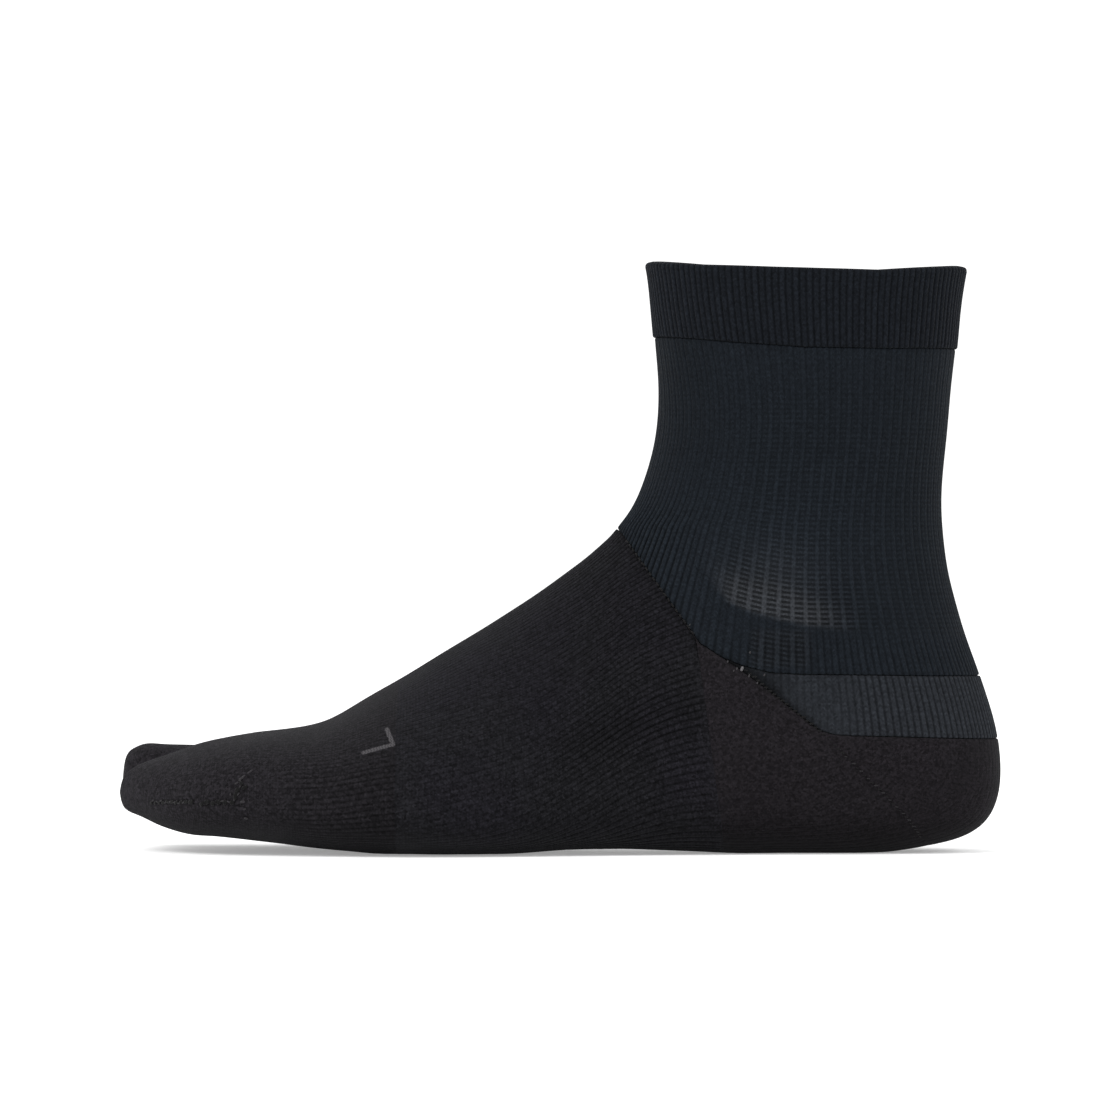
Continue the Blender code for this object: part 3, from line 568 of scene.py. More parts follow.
def fabric(name, outer, inner, uv, ring, per, tone, extra=None, tip=None, inner_uv=None,
           crisp=True):
    """A closed knitted wall. outer: rows x columns of points. inner: fewer rows, and one column for
    each 'per' outer ones. uv: rows x (columns + 1 on a ring) x 2. tip: (outer, inner) tip points."""
    rows, cols = outer.shape[:2]
    irows, icols = inner.shape[:2]
    base = rows * cols
    verts = np.concatenate([outer.reshape(-1, 3), inner.reshape(-1, 3)])
    span = cols if ring else cols - 1
    ispan = icols if ring else icols - 1
    if inner_uv is None:
        at_rows = np.rint(np.linspace(0, rows - 1, irows)).astype(int)
        at_cols = np.arange(ispan + 1) * per
        inner_uv = uv[at_rows][:, at_cols]

    i, j = np.meshgrid(np.arange(rows - 1), np.arange(span), indexing="ij")
    quad = np.stack([i * cols + j, i * cols + (j + 1) % cols,
                     (i + 1) * cols + (j + 1) % cols, (i + 1) * cols + j], axis=-1).reshape(-1, 4)
    quad_uv = np.stack([uv[i, j], uv[i, j + 1], uv[i + 1, j + 1], uv[i + 1, j]],
                       axis=-2).reshape(-1, 4, 2)
    i, j = np.meshgrid(np.arange(irows - 1), np.arange(ispan), indexing="ij")
    back = np.stack([i * icols + j, (i + 1) * icols + j, (i + 1) * icols + (j + 1) % icols,
                     i * icols + (j + 1) % icols], axis=-1).reshape(-1, 4) + base
    back_uv = np.stack([inner_uv[i, j], inner_uv[i + 1, j], inner_uv[i + 1, j + 1],
                        inner_uv[i, j + 1]], axis=-2).reshape(-1, 4, 2)
    faces = [quad, back]
    face_uv = [quad_uv, back_uv]

    j = np.arange(ispan)
    if per == 1:
        k = np.arange(2)
    else:
        k = np.arange(per + 1)
    # the rims: each inner edge meets 'per' outer ones
    many = (j[:, None] * per + k[None, :])
    for top in (True, False):
        if not top and tip is not None:
            continue
        row, irow = (0, 0) if top else (rows - 1, irows - 1)
        outside = row * cols + many % cols
        inside = base + irow * icols + np.stack([j, (j + 1) % icols], axis=1)
        out_uv = uv[row, many]
        in_uv = inner_uv[irow, np.stack([j, j + 1], axis=1)]
        if top:
            loop = np.concatenate([outside[:, ::-1], inside], axis=1)
            loop_uv = np.concatenate([out_uv[:, ::-1], in_uv], axis=1)
        else:
            loop = np.concatenate([outside, inside[:, ::-1]], axis=1)
            loop_uv = np.concatenate([out_uv, in_uv[:, ::-1]], axis=1)
        faces.append(loop)
        face_uv.append(loop_uv)
    if not ring:
        # the two side edges: one face for each inner row
        at = np.rint(np.linspace(0, rows - 1, irows)).astype(int)
        for column, icolumn, flip in ((0, 0, False), (cols - 1, icols - 1, True)):
            for r in range(irows - 1):
                along = np.arange(at[r], at[r + 1] + 1)
                out = along * cols + column
                ins = base + np.array([(r + 1) * icols + icolumn, r * icols + icolumn])
                loop = np.concatenate([out, ins])
                loop_uv = np.concatenate([uv[along, column],
                                          inner_uv[[r + 1, r], icolumn]])
                if flip:
                    loop, loop_uv = loop[::-1], loop_uv[::-1]
                faces.append(loop[None])
                face_uv.append(loop_uv[None])
    if tip is not None:
        verts = np.concatenate([verts, [tip[0]], [tip[1]]])
        j = np.arange(cols)
        faces.append(np.stack([(rows - 1) * cols + j, (rows - 1) * cols + (j + 1) % cols,
                               np.full(cols, len(verts) - 2)], axis=1))
        end_uv = uv[rows - 1]
        face_uv.append(np.stack([end_uv[j], end_uv[j + 1], 0.5 * (end_uv[j] + end_uv[j + 1])
                                 + [0.0, 0.5]], axis=1))
        j = np.arange(icols)
        faces.append(np.stack([base + (irows - 1) * icols + j, np.full(icols, len(verts) - 1),
                               base + (irows - 1) * icols + (j + 1) % icols], axis=1))
        end_uv = inner_uv[irows - 1]
        face_uv.append(np.stack([end_uv[j], 0.5 * (end_uv[j] + end_uv[j + 1]) + [0.0, 0.5],
                                 end_uv[j + 1]], axis=1))

    corners = np.concatenate([f.ravel() for f in faces])
    sizes = np.concatenate([np.full(len(f), f.shape[1]) for f in faces])
    starts = np.concatenate([[0], np.cumsum(sizes)[:-1]])
    loops_uv = np.concatenate([f.reshape(-1, 2) for f in face_uv])
    middle = verts.mean(axis=0)
    if signed_volume(verts - middle, corners, starts) < 0.0:
        order = np.concatenate([np.arange(a + n - 1, a - 1, -1) for a, n in zip(starts, sizes)])
        corners, loops_uv = corners[order], loops_uv[order]

    extra = dict(extra or {})
    extra.setdefault("deep", np.ones((rows, cols)))
    values = {"tone": np.concatenate([np.ravel(tone), np.ones(len(verts) - base)])}
    for key, value in extra.items():
        rest = np.full(len(verts) - base, 1.0 if key == "deep" else 0.0)
        values[key] = np.concatenate([np.ravel(value), rest])
    edge = np.zeros((rows, cols), bool)
    edge[0] = True
    edge[-1] = tip is None
    if not ring:
        edge[:, [0, -1]] = True
    edge = np.concatenate([edge.ravel(), np.zeros(len(verts) - base, bool)])
    return make_mesh(name, metres(verts), corners, starts, loops_uv, values,
                     edge if crisp else None)


def soft_waves(p, size, amount):
    """A slow unevenness of the cloth, the same in every run."""
    x, y, z = p[..., 0] / size, p[..., 1] / size, p[..., 2] / size
    w = (np.sin(1.7 * x + 2.3 * z + 0.8 * y) + np.sin(-2.1 * x + 1.3 * z + 1.9 * y + 1.3)
         + np.sin(0.9 * x - 2.9 * z + 1.1 * y + 2.1) + np.sin(2.7 * x + 0.7 * z - 1.7 * y + 4.0))
    return amount * 0.25 * w


def place(name, slot, material, obj, *nodes):
    obj.data.materials.append(material)
    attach(obj, "root")
    if nodes:
        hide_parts(*nodes)
    return obj


# ---------------------------------------------------------------- materials
class Graph:
    """A short way to write a material's nodes."""

    def __init__(self, name):
        self.material = bpy.data.materials.new(name)
        self.material.use_nodes = True
        self.tree = self.material.node_tree
        self.shader = self.tree.nodes["Principled BSDF"]

    def link(self, source, socket):
        if isinstance(source, bpy.types.NodeSocket):
            self.tree.links.new(source, socket)
        elif isinstance(source, tuple) and len(source) == 3 and len(socket.default_value) == 4:
            socket.default_value = (*source, 1.0)
        else:
            socket.default_value = source

    def math(self, operation, a, b=None, c=None, clamp=False):
        node = self.tree.nodes.new("ShaderNodeMath")
        node.operation = operation
        node.use_clamp = clamp
        for socket, value in zip(node.inputs, (a, b, c)):
            if value is not None:
                self.link(value, socket)
        return node.outputs[0]

    def add(self, a, b):
        return self.math("ADD", a, b)

    def mul(self, a, b):
        return self.math("MULTIPLY", a, b)

    def smooth(self, x, lo, hi, to_lo=0.0, to_hi=1.0):
        node = self.tree.nodes.new("ShaderNodeMapRange")
        node.interpolation_type = "SMOOTHSTEP"
        for socket, value in zip(node.inputs, (x, lo, hi, to_lo, to_hi)):
            self.link(value, socket)
        return node.outputs[0]

    def mix(self, factor, a, b):
        node = self.tree.nodes.new("ShaderNodeMix")
        node.data_type = "RGBA"
        self.link(factor, node.inputs[0])
        self.link(a, node.inputs[6])
        self.link(b, node.inputs[7])
        return node.outputs[2]

    def attribute(self, name):
        node = self.tree.nodes.new("ShaderNodeAttribute")
        node.attribute_name = name
        return node.outputs["Fac"]

    def uv(self):
        node = self.tree.nodes.new("ShaderNodeUVMap")
        node.uv_map = "knit"
        split = self.tree.nodes.new("ShaderNodeSeparateXYZ")
        self.tree.links.new(node.outputs[0], split.inputs[0])
        return node.outputs[0], split.outputs[0], split.outputs[1]

    def place(self):
        node = self.tree.nodes.new("ShaderNodeTexCoord")
        split = self.tree.nodes.new("ShaderNodeSeparateXYZ")
        self.tree.links.new(node.outputs["Object"], split.inputs[0])
        return node.outputs["Object"], split.outputs[0], split.outputs[1], split.outputs[2]

    def noise(self, vector, scale, detail=2.0, roughness=0.5, stretch=None):
        if stretch is not None:
            mapping = self.tree.nodes.new("ShaderNodeMapping")
            self.tree.links.new(vector, mapping.inputs[0])
            mapping.inputs["Scale"].default_value = stretch
            vector = mapping.outputs[0]
        node = self.tree.nodes.new("ShaderNodeTexNoise")
        self.tree.links.new(vector, node.inputs["Vector"])
        node.inputs["Scale"].default_value = scale
        node.inputs["Detail"].default_value = detail
        node.inputs["Roughness"].default_value = roughness
        return node.outputs["Fac"]


def knit_material(name, colour, groove=0.3, stitch=0.5, per=1.0, high=1.0, bump=0.00018,
                  speckle=0.35, fibre_dark=0.35, mottle=0.14, pair=0.0, vee=1.0, grain=1050.0,
                  open_mesh=False, mark=False, other=None):
    """Rib or plain knit. per and high: bump wales and courses for each one of the UV map.
    groove, stitch, speckle, fibre_dark, mottle: how strongly each darkens the colour. pair: how much
    lighter every second wale is. vee: how steep the two legs of a stitch stand. grain: patches of
    thread to the metre."""
    g = Graph(name)
    uv, u, v = g.uv()
    here, x, y, z = g.place()
    rib = g.math("ABSOLUTE", g.math("SUBTRACT", g.math("FRACT", u), 0.5))     # 0 crown, 0.5 groove
    crown = g.smooth(rib, 0.5, 0.16)
    wale = u if per == 1.0 else g.mul(u, per)
    f = rib if per == 1.0 else g.math("ABSOLUTE", g.math("SUBTRACT", g.math("FRACT", wale), 0.5))
    # each wale is a chain of V stitches: two legs that lean against each other
    wobble = g.mul(g.math("SUBTRACT", g.noise(uv, 0.55, 2.0), 0.5), 0.9)
    rise = g.add(g.mul(v, high), g.add(g.mul(f, 1.7 * vee), wobble))
    legs = g.add(g.mul(g.math("SINE", g.mul(rise, 2.0 * math.pi)), 0.5), 0.5)
    centre = g.smooth(f, 0.0, 0.10, 0.5, 1.0)                                   # between the two legs
    loop = g.mul(g.mul(legs, g.smooth(f, 0.5, 0.2)), centre)
    # no two stitches are alike: each small patch of thread has its own shade
    patches = g.tree.nodes.new("ShaderNodeTexVoronoi")
    patches.feature = "F1"
    patches.inputs["Scale"].default_value = grain
    g.tree.links.new(here, patches.inputs["Vector"])
    parts = g.tree.nodes.new("ShaderNodeSeparateColor")
    g.tree.links.new(patches.outputs["Color"], parts.inputs[0])
    chance = parts.outputs[0]
    fibre = g.noise(here, grain * 0.8, 3.0, 0.7)
    height = g.add(g.mul(loop, stitch), g.add(g.mul(fibre, 0.5), g.mul(chance, 0.25)))

    def spread(amount, value):
        """1 on average, and so much up and down with value 0 to 1."""
        return g.add(1.0 - amount * 0.5, g.mul(value, amount))

    tone = g.attribute("tone")
    cloudy = g.noise(here, 46.0, 3.0, 0.6)
    deep = g.attribute("deep")
    # painted shade: groove and deep darken the grooves between the ribs, standing for the shade that falls in them
    shade = g.math("SUBTRACT", 1.0, g.mul(g.mul(deep, groove), g.math("SUBTRACT", 1.0, crown)))
    if pair:
        turn = g.math("COSINE", g.mul(g.math("SUBTRACT", u, 0.5), math.pi))
        shade = g.mul(shade, g.add(1.0, g.mul(turn, pair)))
    shade = g.mul(shade, spread(stitch * 0.8, loop))
    shade = g.mul(shade, spread(speckle, chance))
    shade = g.mul(shade, spread(fibre_dark * 2.2, fibre))
    shade = g.mul(shade, spread(mottle * 2.0, cloudy))
    shade = g.mul(shade, tone)
    if open_mesh:
        # the open mesh: every second wale drops out and leaves bars with dark holes between
        zone = g.attribute("mesh")
        near = g.math("ABSOLUTE", g.math("SUBTRACT", g.math("FRACT", g.mul(
            g.math("SUBTRACT", u, 0.5), 0.5)), 0.5))                            # 0.5 on the full wale
        course = g.math("ABSOLUTE", g.math("SUBTRACT", g.math("FRACT", g.add(
            v, g.mul(wobble, 0.25))), 0.5))
        hole = g.mul(g.smooth(near, 0.42, 0.27), g.smooth(course, 0.32, 0.15))
        hole = g.mul(hole, zone)
        line = g.mul(g.smooth(near, 0.40, 0.48), zone)
        ragged = g.add(0.46, g.mul(chance, 0.36))
        shade = g.mul(shade, g.math("SUBTRACT", 1.0, g.mul(hole, ragged)))
        shade = g.mul(shade, g.add(1.0, g.mul(line, 0.02)))
        height = g.math("SUBTRACT", height, g.mul(hole, 1.1))
    scaled = g.tree.nodes.new("ShaderNodeVectorMath")
    scaled.operation = "SCALE"
    scaled.inputs[0].default_value = colour
    g.tree.links.new(shade, scaled.inputs[3])
    if open_mesh:
        # stretched over the ankle bone the yarn looks greyer; glow is partly also a painted highlight on the
        # bone's bump
        g.tree.links.new(g.mix(g.attribute("glow"), colour, (0.0081, 0.0088, 0.0101)),
                         scaled.inputs[0])
    if other is not None:
        # a second shade of the yarn, in slow patches
        patch = g.smooth(g.noise(here, 21.0, 2.0, 0.5), 0.40, 0.60)
        both = g.mix(patch, colour, other)
        g.tree.links.new(both, scaled.inputs[0])
    result = scaled.outputs[0]
    if mark:
        # a plain L for the left foot, knitted in: a long and a short stroke that meet at a corner
        def stroke(x0, z0, x1, z1, half_width):
            dx, dz = x1 - x0, z1 - z0
            length2 = dx * dx + dz * dz
            ax = g.math("SUBTRACT", x, x0)
            az = g.math("SUBTRACT", z, z0)
            t = g.math("DIVIDE", g.add(g.mul(ax, dx), g.mul(az, dz)), length2, clamp=True)
            ex = g.math("SUBTRACT", ax, g.mul(t, dx))
            ez = g.math("SUBTRACT", az, g.mul(t, dz))
            d = g.math("SQRT", g.add(g.mul(ex, ex), g.mul(ez, ez)))
            return g.smooth(g.add(d, g.mul(g.math("SUBTRACT", fibre, 0.5), 0.0007)),
                            half_width * 1.3, half_width * 0.7)
        corner = (-0.1201, 0.03045)
        long_end = (-0.1288, 0.0280)
        short_end = (-0.1220, 0.0346)
        both = g.math("MAXIMUM", stroke(*corner, *long_end, 0.00050),
                      stroke(*corner, *short_end, 0.00064))
        outer_side = g.math("LESS_THAN", y, -0.01)
        threads = g.smooth(legs, 0.05, 0.6, 0.5, 1.0)
        result = g.mix(g.mul(g.mul(both, outer_side), g.mul(threads, 0.85)), result,
                       (0.062, 0.059, 0.063))
    g.tree.links.new(result, g.shader.inputs["Base Color"])
    bumps = g.tree.nodes.new("ShaderNodeBump")
    bumps.inputs["Strength"].default_value = 1.0
    bumps.inputs["Distance"].default_value = bump
    g.tree.links.new(height, bumps.inputs["Height"])
    g.tree.links.new(bumps.outputs[0], g.shader.inputs["Normal"])
    g.tree.links.new(g.add(0.80, g.mul(fibre, 0.18)), g.shader.inputs["Roughness"])
    g.shader.inputs["Specular IOR Level"].default_value = 0.05
    g.shader.inputs["Sheen Weight"].default_value = 0.02
    g.shader.inputs["Sheen Roughness"].default_value = 0.45
    g.shader.inputs["Sheen Tint"].default_value = (0.92, 0.95, 1.0, 1.0)
    return g.material


def yarn_material(name, colour, roughness=0.85):
    """A stitch's thread: twisted, with the twist as fine slanted bands."""
    g = Graph(name)
    uv, u, v = g.uv()
    twist = g.math("SINE", g.mul(g.add(u, g.mul(v, 0.5)), 2.0 * math.pi * 3.0))
    band = g.add(g.mul(twist, 0.5), 0.5)
    fibre = g.noise(uv, 8.0, 2.0, 0.6)
    shade = g.mul(g.add(0.72, g.mul(band, 0.28)), g.add(0.85, g.mul(fibre, 0.3)))
    scaled = g.tree.nodes.new("ShaderNodeVectorMath")
    scaled.operation = "SCALE"
    scaled.inputs[0].default_value = colour
    g.tree.links.new(shade, scaled.inputs[3])
    g.tree.links.new(scaled.outputs[0], g.shader.inputs["Base Color"])
    bumps = g.tree.nodes.new("ShaderNodeBump")
    bumps.inputs["Distance"].default_value = 0.00008
    g.tree.links.new(band, bumps.inputs["Height"])
    g.tree.links.new(bumps.outputs[0], g.shader.inputs["Normal"])
    g.shader.inputs["Roughness"].default_value = roughness
    g.shader.inputs["Specular IOR Level"].default_value = 0.15
    g.shader.inputs["Sheen Weight"].default_value = 0.05
    return g.material


CUFF = knit_material("cuff knit", (0.0056, 0.0069, 0.0094), groove=0.42, stitch=0.3, pair=0.08,
                     speckle=0.55, fibre_dark=0.55, grain=1500.0)
LEG = knit_material("leg knit", (0.0058, 0.0076, 0.0102), groove=0.24, stitch=0.35, pair=0.060,
                    speckle=0.45, fibre_dark=0.45, grain=1500.0, open_mesh=True)
BAND = knit_material("band knit", (0.0142, 0.0160, 0.0194), groove=0.46, stitch=0.3, speckle=0.50,
                     fibre_dark=0.55, vee=0.7, grain=1500.0)
HEEL = knit_material("heel knit", (0.0079, 0.0069, 0.0082), groove=0.06, stitch=0.25, per=2.0,
                     high=1.9, speckle=0.88, fibre_dark=0.88, vee=0.5, grain=1600.0)
FOOT = knit_material("foot knit", (0.0070, 0.0069, 0.0082), groove=0.40, stitch=0.4, per=2.0,
                     high=1.8, speckle=0.98, fibre_dark=1.02, vee=0.5, pair=0.05, grain=1500.0,
                     other=(0.0071, 0.0067, 0.0087))
FRONT = knit_material("forefoot knit", (0.0089, 0.0082, 0.0096), groove=0.40, stitch=0.3, per=1.5,
                      high=2.0, speckle=0.95, fibre_dark=0.95, vee=0.5, grain=1500.0, mark=True)
TOE = knit_material("toe knit", (0.0101, 0.0092, 0.0108), groove=0.0, stitch=0.35, per=1.5,
                    high=2.0, speckle=1.0, fibre_dark=1.05, vee=0.6, grain=1400.0)


# ---------------------------------------------------------------- the cuff and the leg
def finish_skin(skin, ring, ribs, ends, radius, proud, waves=0.12):
    """Outer surface from a smooth grid: ribs, turned edges and a slow unevenness."""
    n = grid_normals(skin, ring)
    middle = skin.reshape(-1, 3).mean(axis=0)
    if np.sum((skin - middle) * n) < 0.0:
        n = -n
    out = skin + n * (proud - ribs - ends * 1.0 + soft_waves(skin, 9.0, waves))[..., None]
    out[..., 2] = np.maximum(out[..., 2], 0.02)
    return out, n


def leg_grid(first, last, top, bottom, rows, radius, ring=True, offsets=RIB, wales=LEG_WALES):
    u = wale_columns(first, last, offsets)
    if not ring:
        u = np.append(u, float(last))
    v = u / wales
    hi, lo = top(v), bottom(v)
    share = np.clip(radius / np.maximum(hi - lo, 0.2), 0.002, 0.2)
    t = np.stack([edge_rows(rows, w) for w in share], axis=1)
    z = hi[None, :] + (lo - hi)[None, :] * t
    skin = leg_point(np.broadcast_to(v, z.shape), z)
    away = np.minimum(hi[None, :] - z, z - lo[None, :])
    return u, v, z, skin, away


def ring_uv(u, v_coord, total, ring):
    """UV grid, one more column on a ring."""
    uu = np.broadcast_to(u, v_coord.shape)
    if ring:
        uu = np.concatenate([uu, uu[:, :1] + total], axis=1)
        v_coord = np.concatenate([v_coord, v_coord[:, :1]], axis=1)
    return np.stack([uu, v_coord], axis=-1)


def inner_of(skin, n, depth, per, rows, ring, floor=BED, reach=(0.0, 0.0)):
    """The inner skin: coarser, and clear of the foot's bed. reach: how far its first and last row
    go on towards the next piece, so that no light comes through the seam."""
    at = np.rint(np.linspace(0, skin.shape[0] - 1, rows)).astype(int)
    cols = np.arange(0, skin.shape[1], per)
    inside = skin[at][:, cols] - n[at][:, cols] * depth
    for row, before, far in ((0, 1, reach[0]), (-1, -2, reach[1])):
        way = inside[row] - inside[before]
        long_ = np.linalg.norm(way, axis=-1, keepdims=True)
        inside[row] = inside[row] + way / np.maximum(long_, 0.05) * np.minimum(far, long_)
    inside[..., 2] = np.maximum(inside[..., 2], floor)
    return inside


def build_cuff():
    wall, proud, radius = FABRIC["cuff"]
    wales = 138
    u, v, z, skin, away = leg_grid(0, wales, lambda v: leg_cut(v, rim_z, 165.0, 178.0),
                                   lambda v: leg_cut(v, cuff_z, 140.0, 160.0) + SEAM, 30, 1.2,
                                   wales=wales)
    ribs = rib_depth(u, 0.30, 0.46)[None, :] * np.ones((len(z), 1))
    top = z[0][None, :] - z
    low = z - z[-1][None, :]
    ends = lip(top, 1.15) + lip(low, 0.6)
    outer, n = finish_skin(skin, True, ribs, ends, radius, proud)
    inner = inner_of(skin, n, wall - proud, 3, 12, True, reach=(0.0, SEAM))
    # the rim is turned over, so the inner skin starts a little lower too
    course = ring_uv(u, z / COURSE, wales, True)
    # painted sheen: the cuff is lighter towards its front and back edges, where grazing light catches the fuzz
    tone = 0.90 + 0.11 * bell(v, 0.0, 0.10) + 0.05 * bell(v, 0.5, 0.10) + 0.1 * bell(v, 1.0, 0.10)
    obj = fabric("cuff_knit", outer, inner, course, True, 3,
                 np.broadcast_to(tone, z.shape), crisp=False)
    place("cuff", "cuff_knit", CUFF, obj, "cuff")


# the lower edge of the open mesh, a bow round the ankle bone, and how far up the light reaches
MESH_BOW = tuple(px(c, r) for c, r in ((696, 558), (708, 584), (724, 602), (748, 613), (775, 620),
                                       (802, 626), (850, 632), (905, 634)))


def mesh_zone(x, z, outer):
    """How open the knit is, and how light, over the ankle bone and fading up the leg."""
    bow = np.asarray(MESH_BOW)
    at = {c: px(c, 0.0)[0] for c in (700, 704, 715, 735, 740, 765, 768, 796, 822, 868, 906)}
    above = z - np.interp(x, bow[:, 0], bow[:, 1], left=1000.0)
    inside = ease(above, -0.4, 1.2)
    core = inside * ease(x, at[700], at[740]) * ease(above, 32.0, 4.0) * ease(x, at[906], at[822])
    upper = inside * ease(x, at[715], at[765]) * ease(z, 150.0, 118.0) * 0.30
    upper = upper + 0.30 * inside * bell(x, at[768] + 4.0, 15.0) * bell(z, px(0, 560)[1], 13.0)
    ridge = np.exp(-((above - 3.0) / 6.0) ** 2) * ease(x, at[704], at[740])
    plume = bell(x, at[768], 15.0) * bell(z, px(0, 582)[1], 11.0)
    # glow is partly greyer stretched yarn and partly a painted highlight on the ankle bone's bump: a band above
    # the mesh's lower edge and a plume over the bone
    glow = inside * (0.85 * ridge * ease(x, at[868], at[796]) + 0.46 * plume)
    side = np.where(outer, 1.0, 0.8)
    return np.maximum(core, upper) * side, glow * side


def build_leg():
    wall, proud, radius = FABRIC["leg"]
    u, v, z, skin, away = leg_grid(0, LEG_WALES, lambda v: leg_cut(v, cuff_z, 140.0, 160.0) - SEAM,
                                   lambda v: leg_cut(v, leg_z, 45.0, 110.0) + SEAM * 1.6, 88, 0.6)
    x = skin[..., 0]
    outer_side = skin[..., 1] < 0.0
    zone, glow = mesh_zone(x, z, outer_side)
    front = bell(x, -48.0, 17.0) * ease(z, 116.0, 92.0)
    low = ease(z, 66.0, 60.0)
    deep = 0.45 + 2.1 * front + 0.85 * low
    uu = np.broadcast_to(u, z.shape)
    even, odd = 0.20 * deep * (1.0 - 0.7 * zone), (0.14 + 0.20 * deep) * (1.0 - 0.7 * zone)
    ribs = rib_depth(uu, even, odd)
    # in the mesh every second wale sinks back
    pair = np.abs(np.mod((uu - 0.5) / 2.0, 1.0) - 0.5) * 2.0
    ribs = ribs + 0.10 * zone * (1.0 - ease(pair, 0.30, 0.95))
    ends = lip(away, 0.5)
    outer, n = finish_skin(skin, True, ribs, ends, radius, proud)
    inner = inner_of(skin, n, wall - proud, 6, 24, True, reach=(SEAM, SEAM * 1.6))
    # the courses sag towards the back of the ankle bone and lie level behind it
    dx = np.clip(x - px(815.0, 0.0)[0], -36.0, 0.0)
    slope = -0.0062 * dx ** 2 * ease(z, 118.0, 86.0)
    course = ring_uv(u, (z + slope) / COURSE, LEG_WALES, True)
    dots = (ease(x, px(742, 0)[0], px(752, 0)[0]) * ease(x, px(812, 0)[0], px(800, 0)[0])
            * ease(z, 67.5, 65.0) * ease(z, 53.5, 56.5) * np.where(outer_side, 1.0, 0.6))
    # painted light in the leg's tone: glow and the bright patch above the ankle bone are partly a painted
    # highlight, the darkening along the lower edge at the front is painted shade at the seam, and the slightly
    # lighter back is painted sheen at the edge
    tone = (1.0 + 0.29 * front + 1.75 * glow + 0.42 * dots
            + 0.20 * bell(x, px(780, 0)[0], 24.0) * bell(z, px(0, 540)[1], 16.0)
            - 0.26 * np.exp(-((z - z[-1:]) / 1.5) ** 2) * ease(x, -14.0, -24.0)
            - 0.15 * bell(x, -38.0, 10.0) * ease(z, 108.0, 120.0) + 0.12 * low * (1.0 - dots)
            + 0.04 * bell(v, 0.5, 0.06)[None, :])
    obj = fabric("leg_knit", outer, inner, course, True, 6, tone,
                 {"mesh": np.maximum(zone, 0.72 * dots), "deep": deep * (1.0 - 0.5 * zone),
                  "glow": np.clip(1.3 * glow + 0.4 * dots, 0.0, 1.0)})
    place("leg", "leg_knit", LEG, obj, "leg")


def build_band():
    wall, proud, radius = FABRIC["achilles_band"]
    wales = 152.0
    every = np.arange(0.05, 0.5, 0.0005)

    def high(v):
        return leg_cut(v, leg_z, 30.0, 110.0) - leg_cut(v, band_z, 30.0, 110.0)

    start = every[np.argmax(high(every) > 0.02)]
    other = (1.0 - every)[np.argmax(high(1.0 - every) > 0.02)]
    first, last = int(math.ceil(start * wales)), int(math.floor(other * wales))
    u = np.append(wale_columns(first, last, RIB), float(last))
    u[0], u[-1] = start * wales, other * wales            # both ends run out to a point
    v = u / wales
    hi, lo = leg_cut(v, leg_z, 30.0, 110.0), leg_cut(v, band_z, 30.0, 110.0)
    gap = np.minimum(SEAM * 1.6, 0.3 * np.maximum(hi - lo, 0.0))
    hi, lo = hi - gap, lo + gap
    share = np.clip(0.6 / np.maximum(hi - lo, 0.2), 0.002, 0.2)
    t = np.stack([edge_rows(22, w) for w in share], axis=1)
    z = hi[None, :] + (lo - hi)[None, :] * t
    skin = leg_point(np.broadcast_to(v, z.shape), z)
    away = np.minimum(hi[None, :] - z, z - lo[None, :])
    x = skin[..., 0]
    deep = 0.35 + 0.65 * ease(x, px(822, 0)[0], px(872, 0)[0])
    ribs = rib_depth(np.broadcast_to(u, z.shape), 0.30, 0.36) * deep
    outer, n = finish_skin(skin, False, ribs, lip(away, 0.5), radius, proud)
    inner = inner_of(skin, n, wall - proud, 6, 6, False, reach=(SEAM * 1.6, SEAM * 1.6))
    course = ring_uv(u, z / COURSE, wales, False)
    # painted light in the band's tone: a little lighter at the back edge as painted sheen, and darker along its
    # lower edge near the heel's tip as painted shade at the seam
    tone = (0.98 + 0.06 * bell(v, 0.5, 0.12)[None, :] - 0.10 * (1.0 - ease(deep, 0.3, 0.9))
            - 0.32 * ease(x, px(800, 0)[0], px(762, 0)[0])
            - 0.42 * np.exp(-((z - z[-1:]) / 2.2) ** 2) * ease(x, px(832, 0)[0], px(808, 0)[0]))
    obj = fabric("achilles_band_knit", outer, inner, course, False, 6, tone, {"deep": deep})
    place("achilles_band", "band_knit", BAND, obj, "achilles_band")


# ---------------------------------------------------------------- the heel and the foot
def skin_grid(on, v, lo, hi, rows, radius):
    """Rows from lo to hi along each column of a skin, closer together at the ends."""
    length = np.maximum((hi - lo) * on.step(0.5 * (lo + hi), v), 0.3)
    share = np.clip(radius / length, 0.002, 0.2)
    t = np.stack([edge_rows(rows, w) for w in share], axis=1)
    s = lo[None, :] + (hi - lo)[None, :] * t
    skin = on.point(s, np.broadcast_to(v, s.shape))
    gone = np.concatenate([np.zeros((1, len(v))),
                           np.cumsum(np.linalg.norm(np.diff(skin, axis=0), axis=-1), axis=0)])
    away = np.minimum(gone, gone[-1:] - gone)
    return s, skin, away, gone


def below(line):
    return lambda x, z: line(x) - z


def in_foot(x, z):
    return foot_x(z) - x


def past(limit):
    return lambda x, z: limit - x


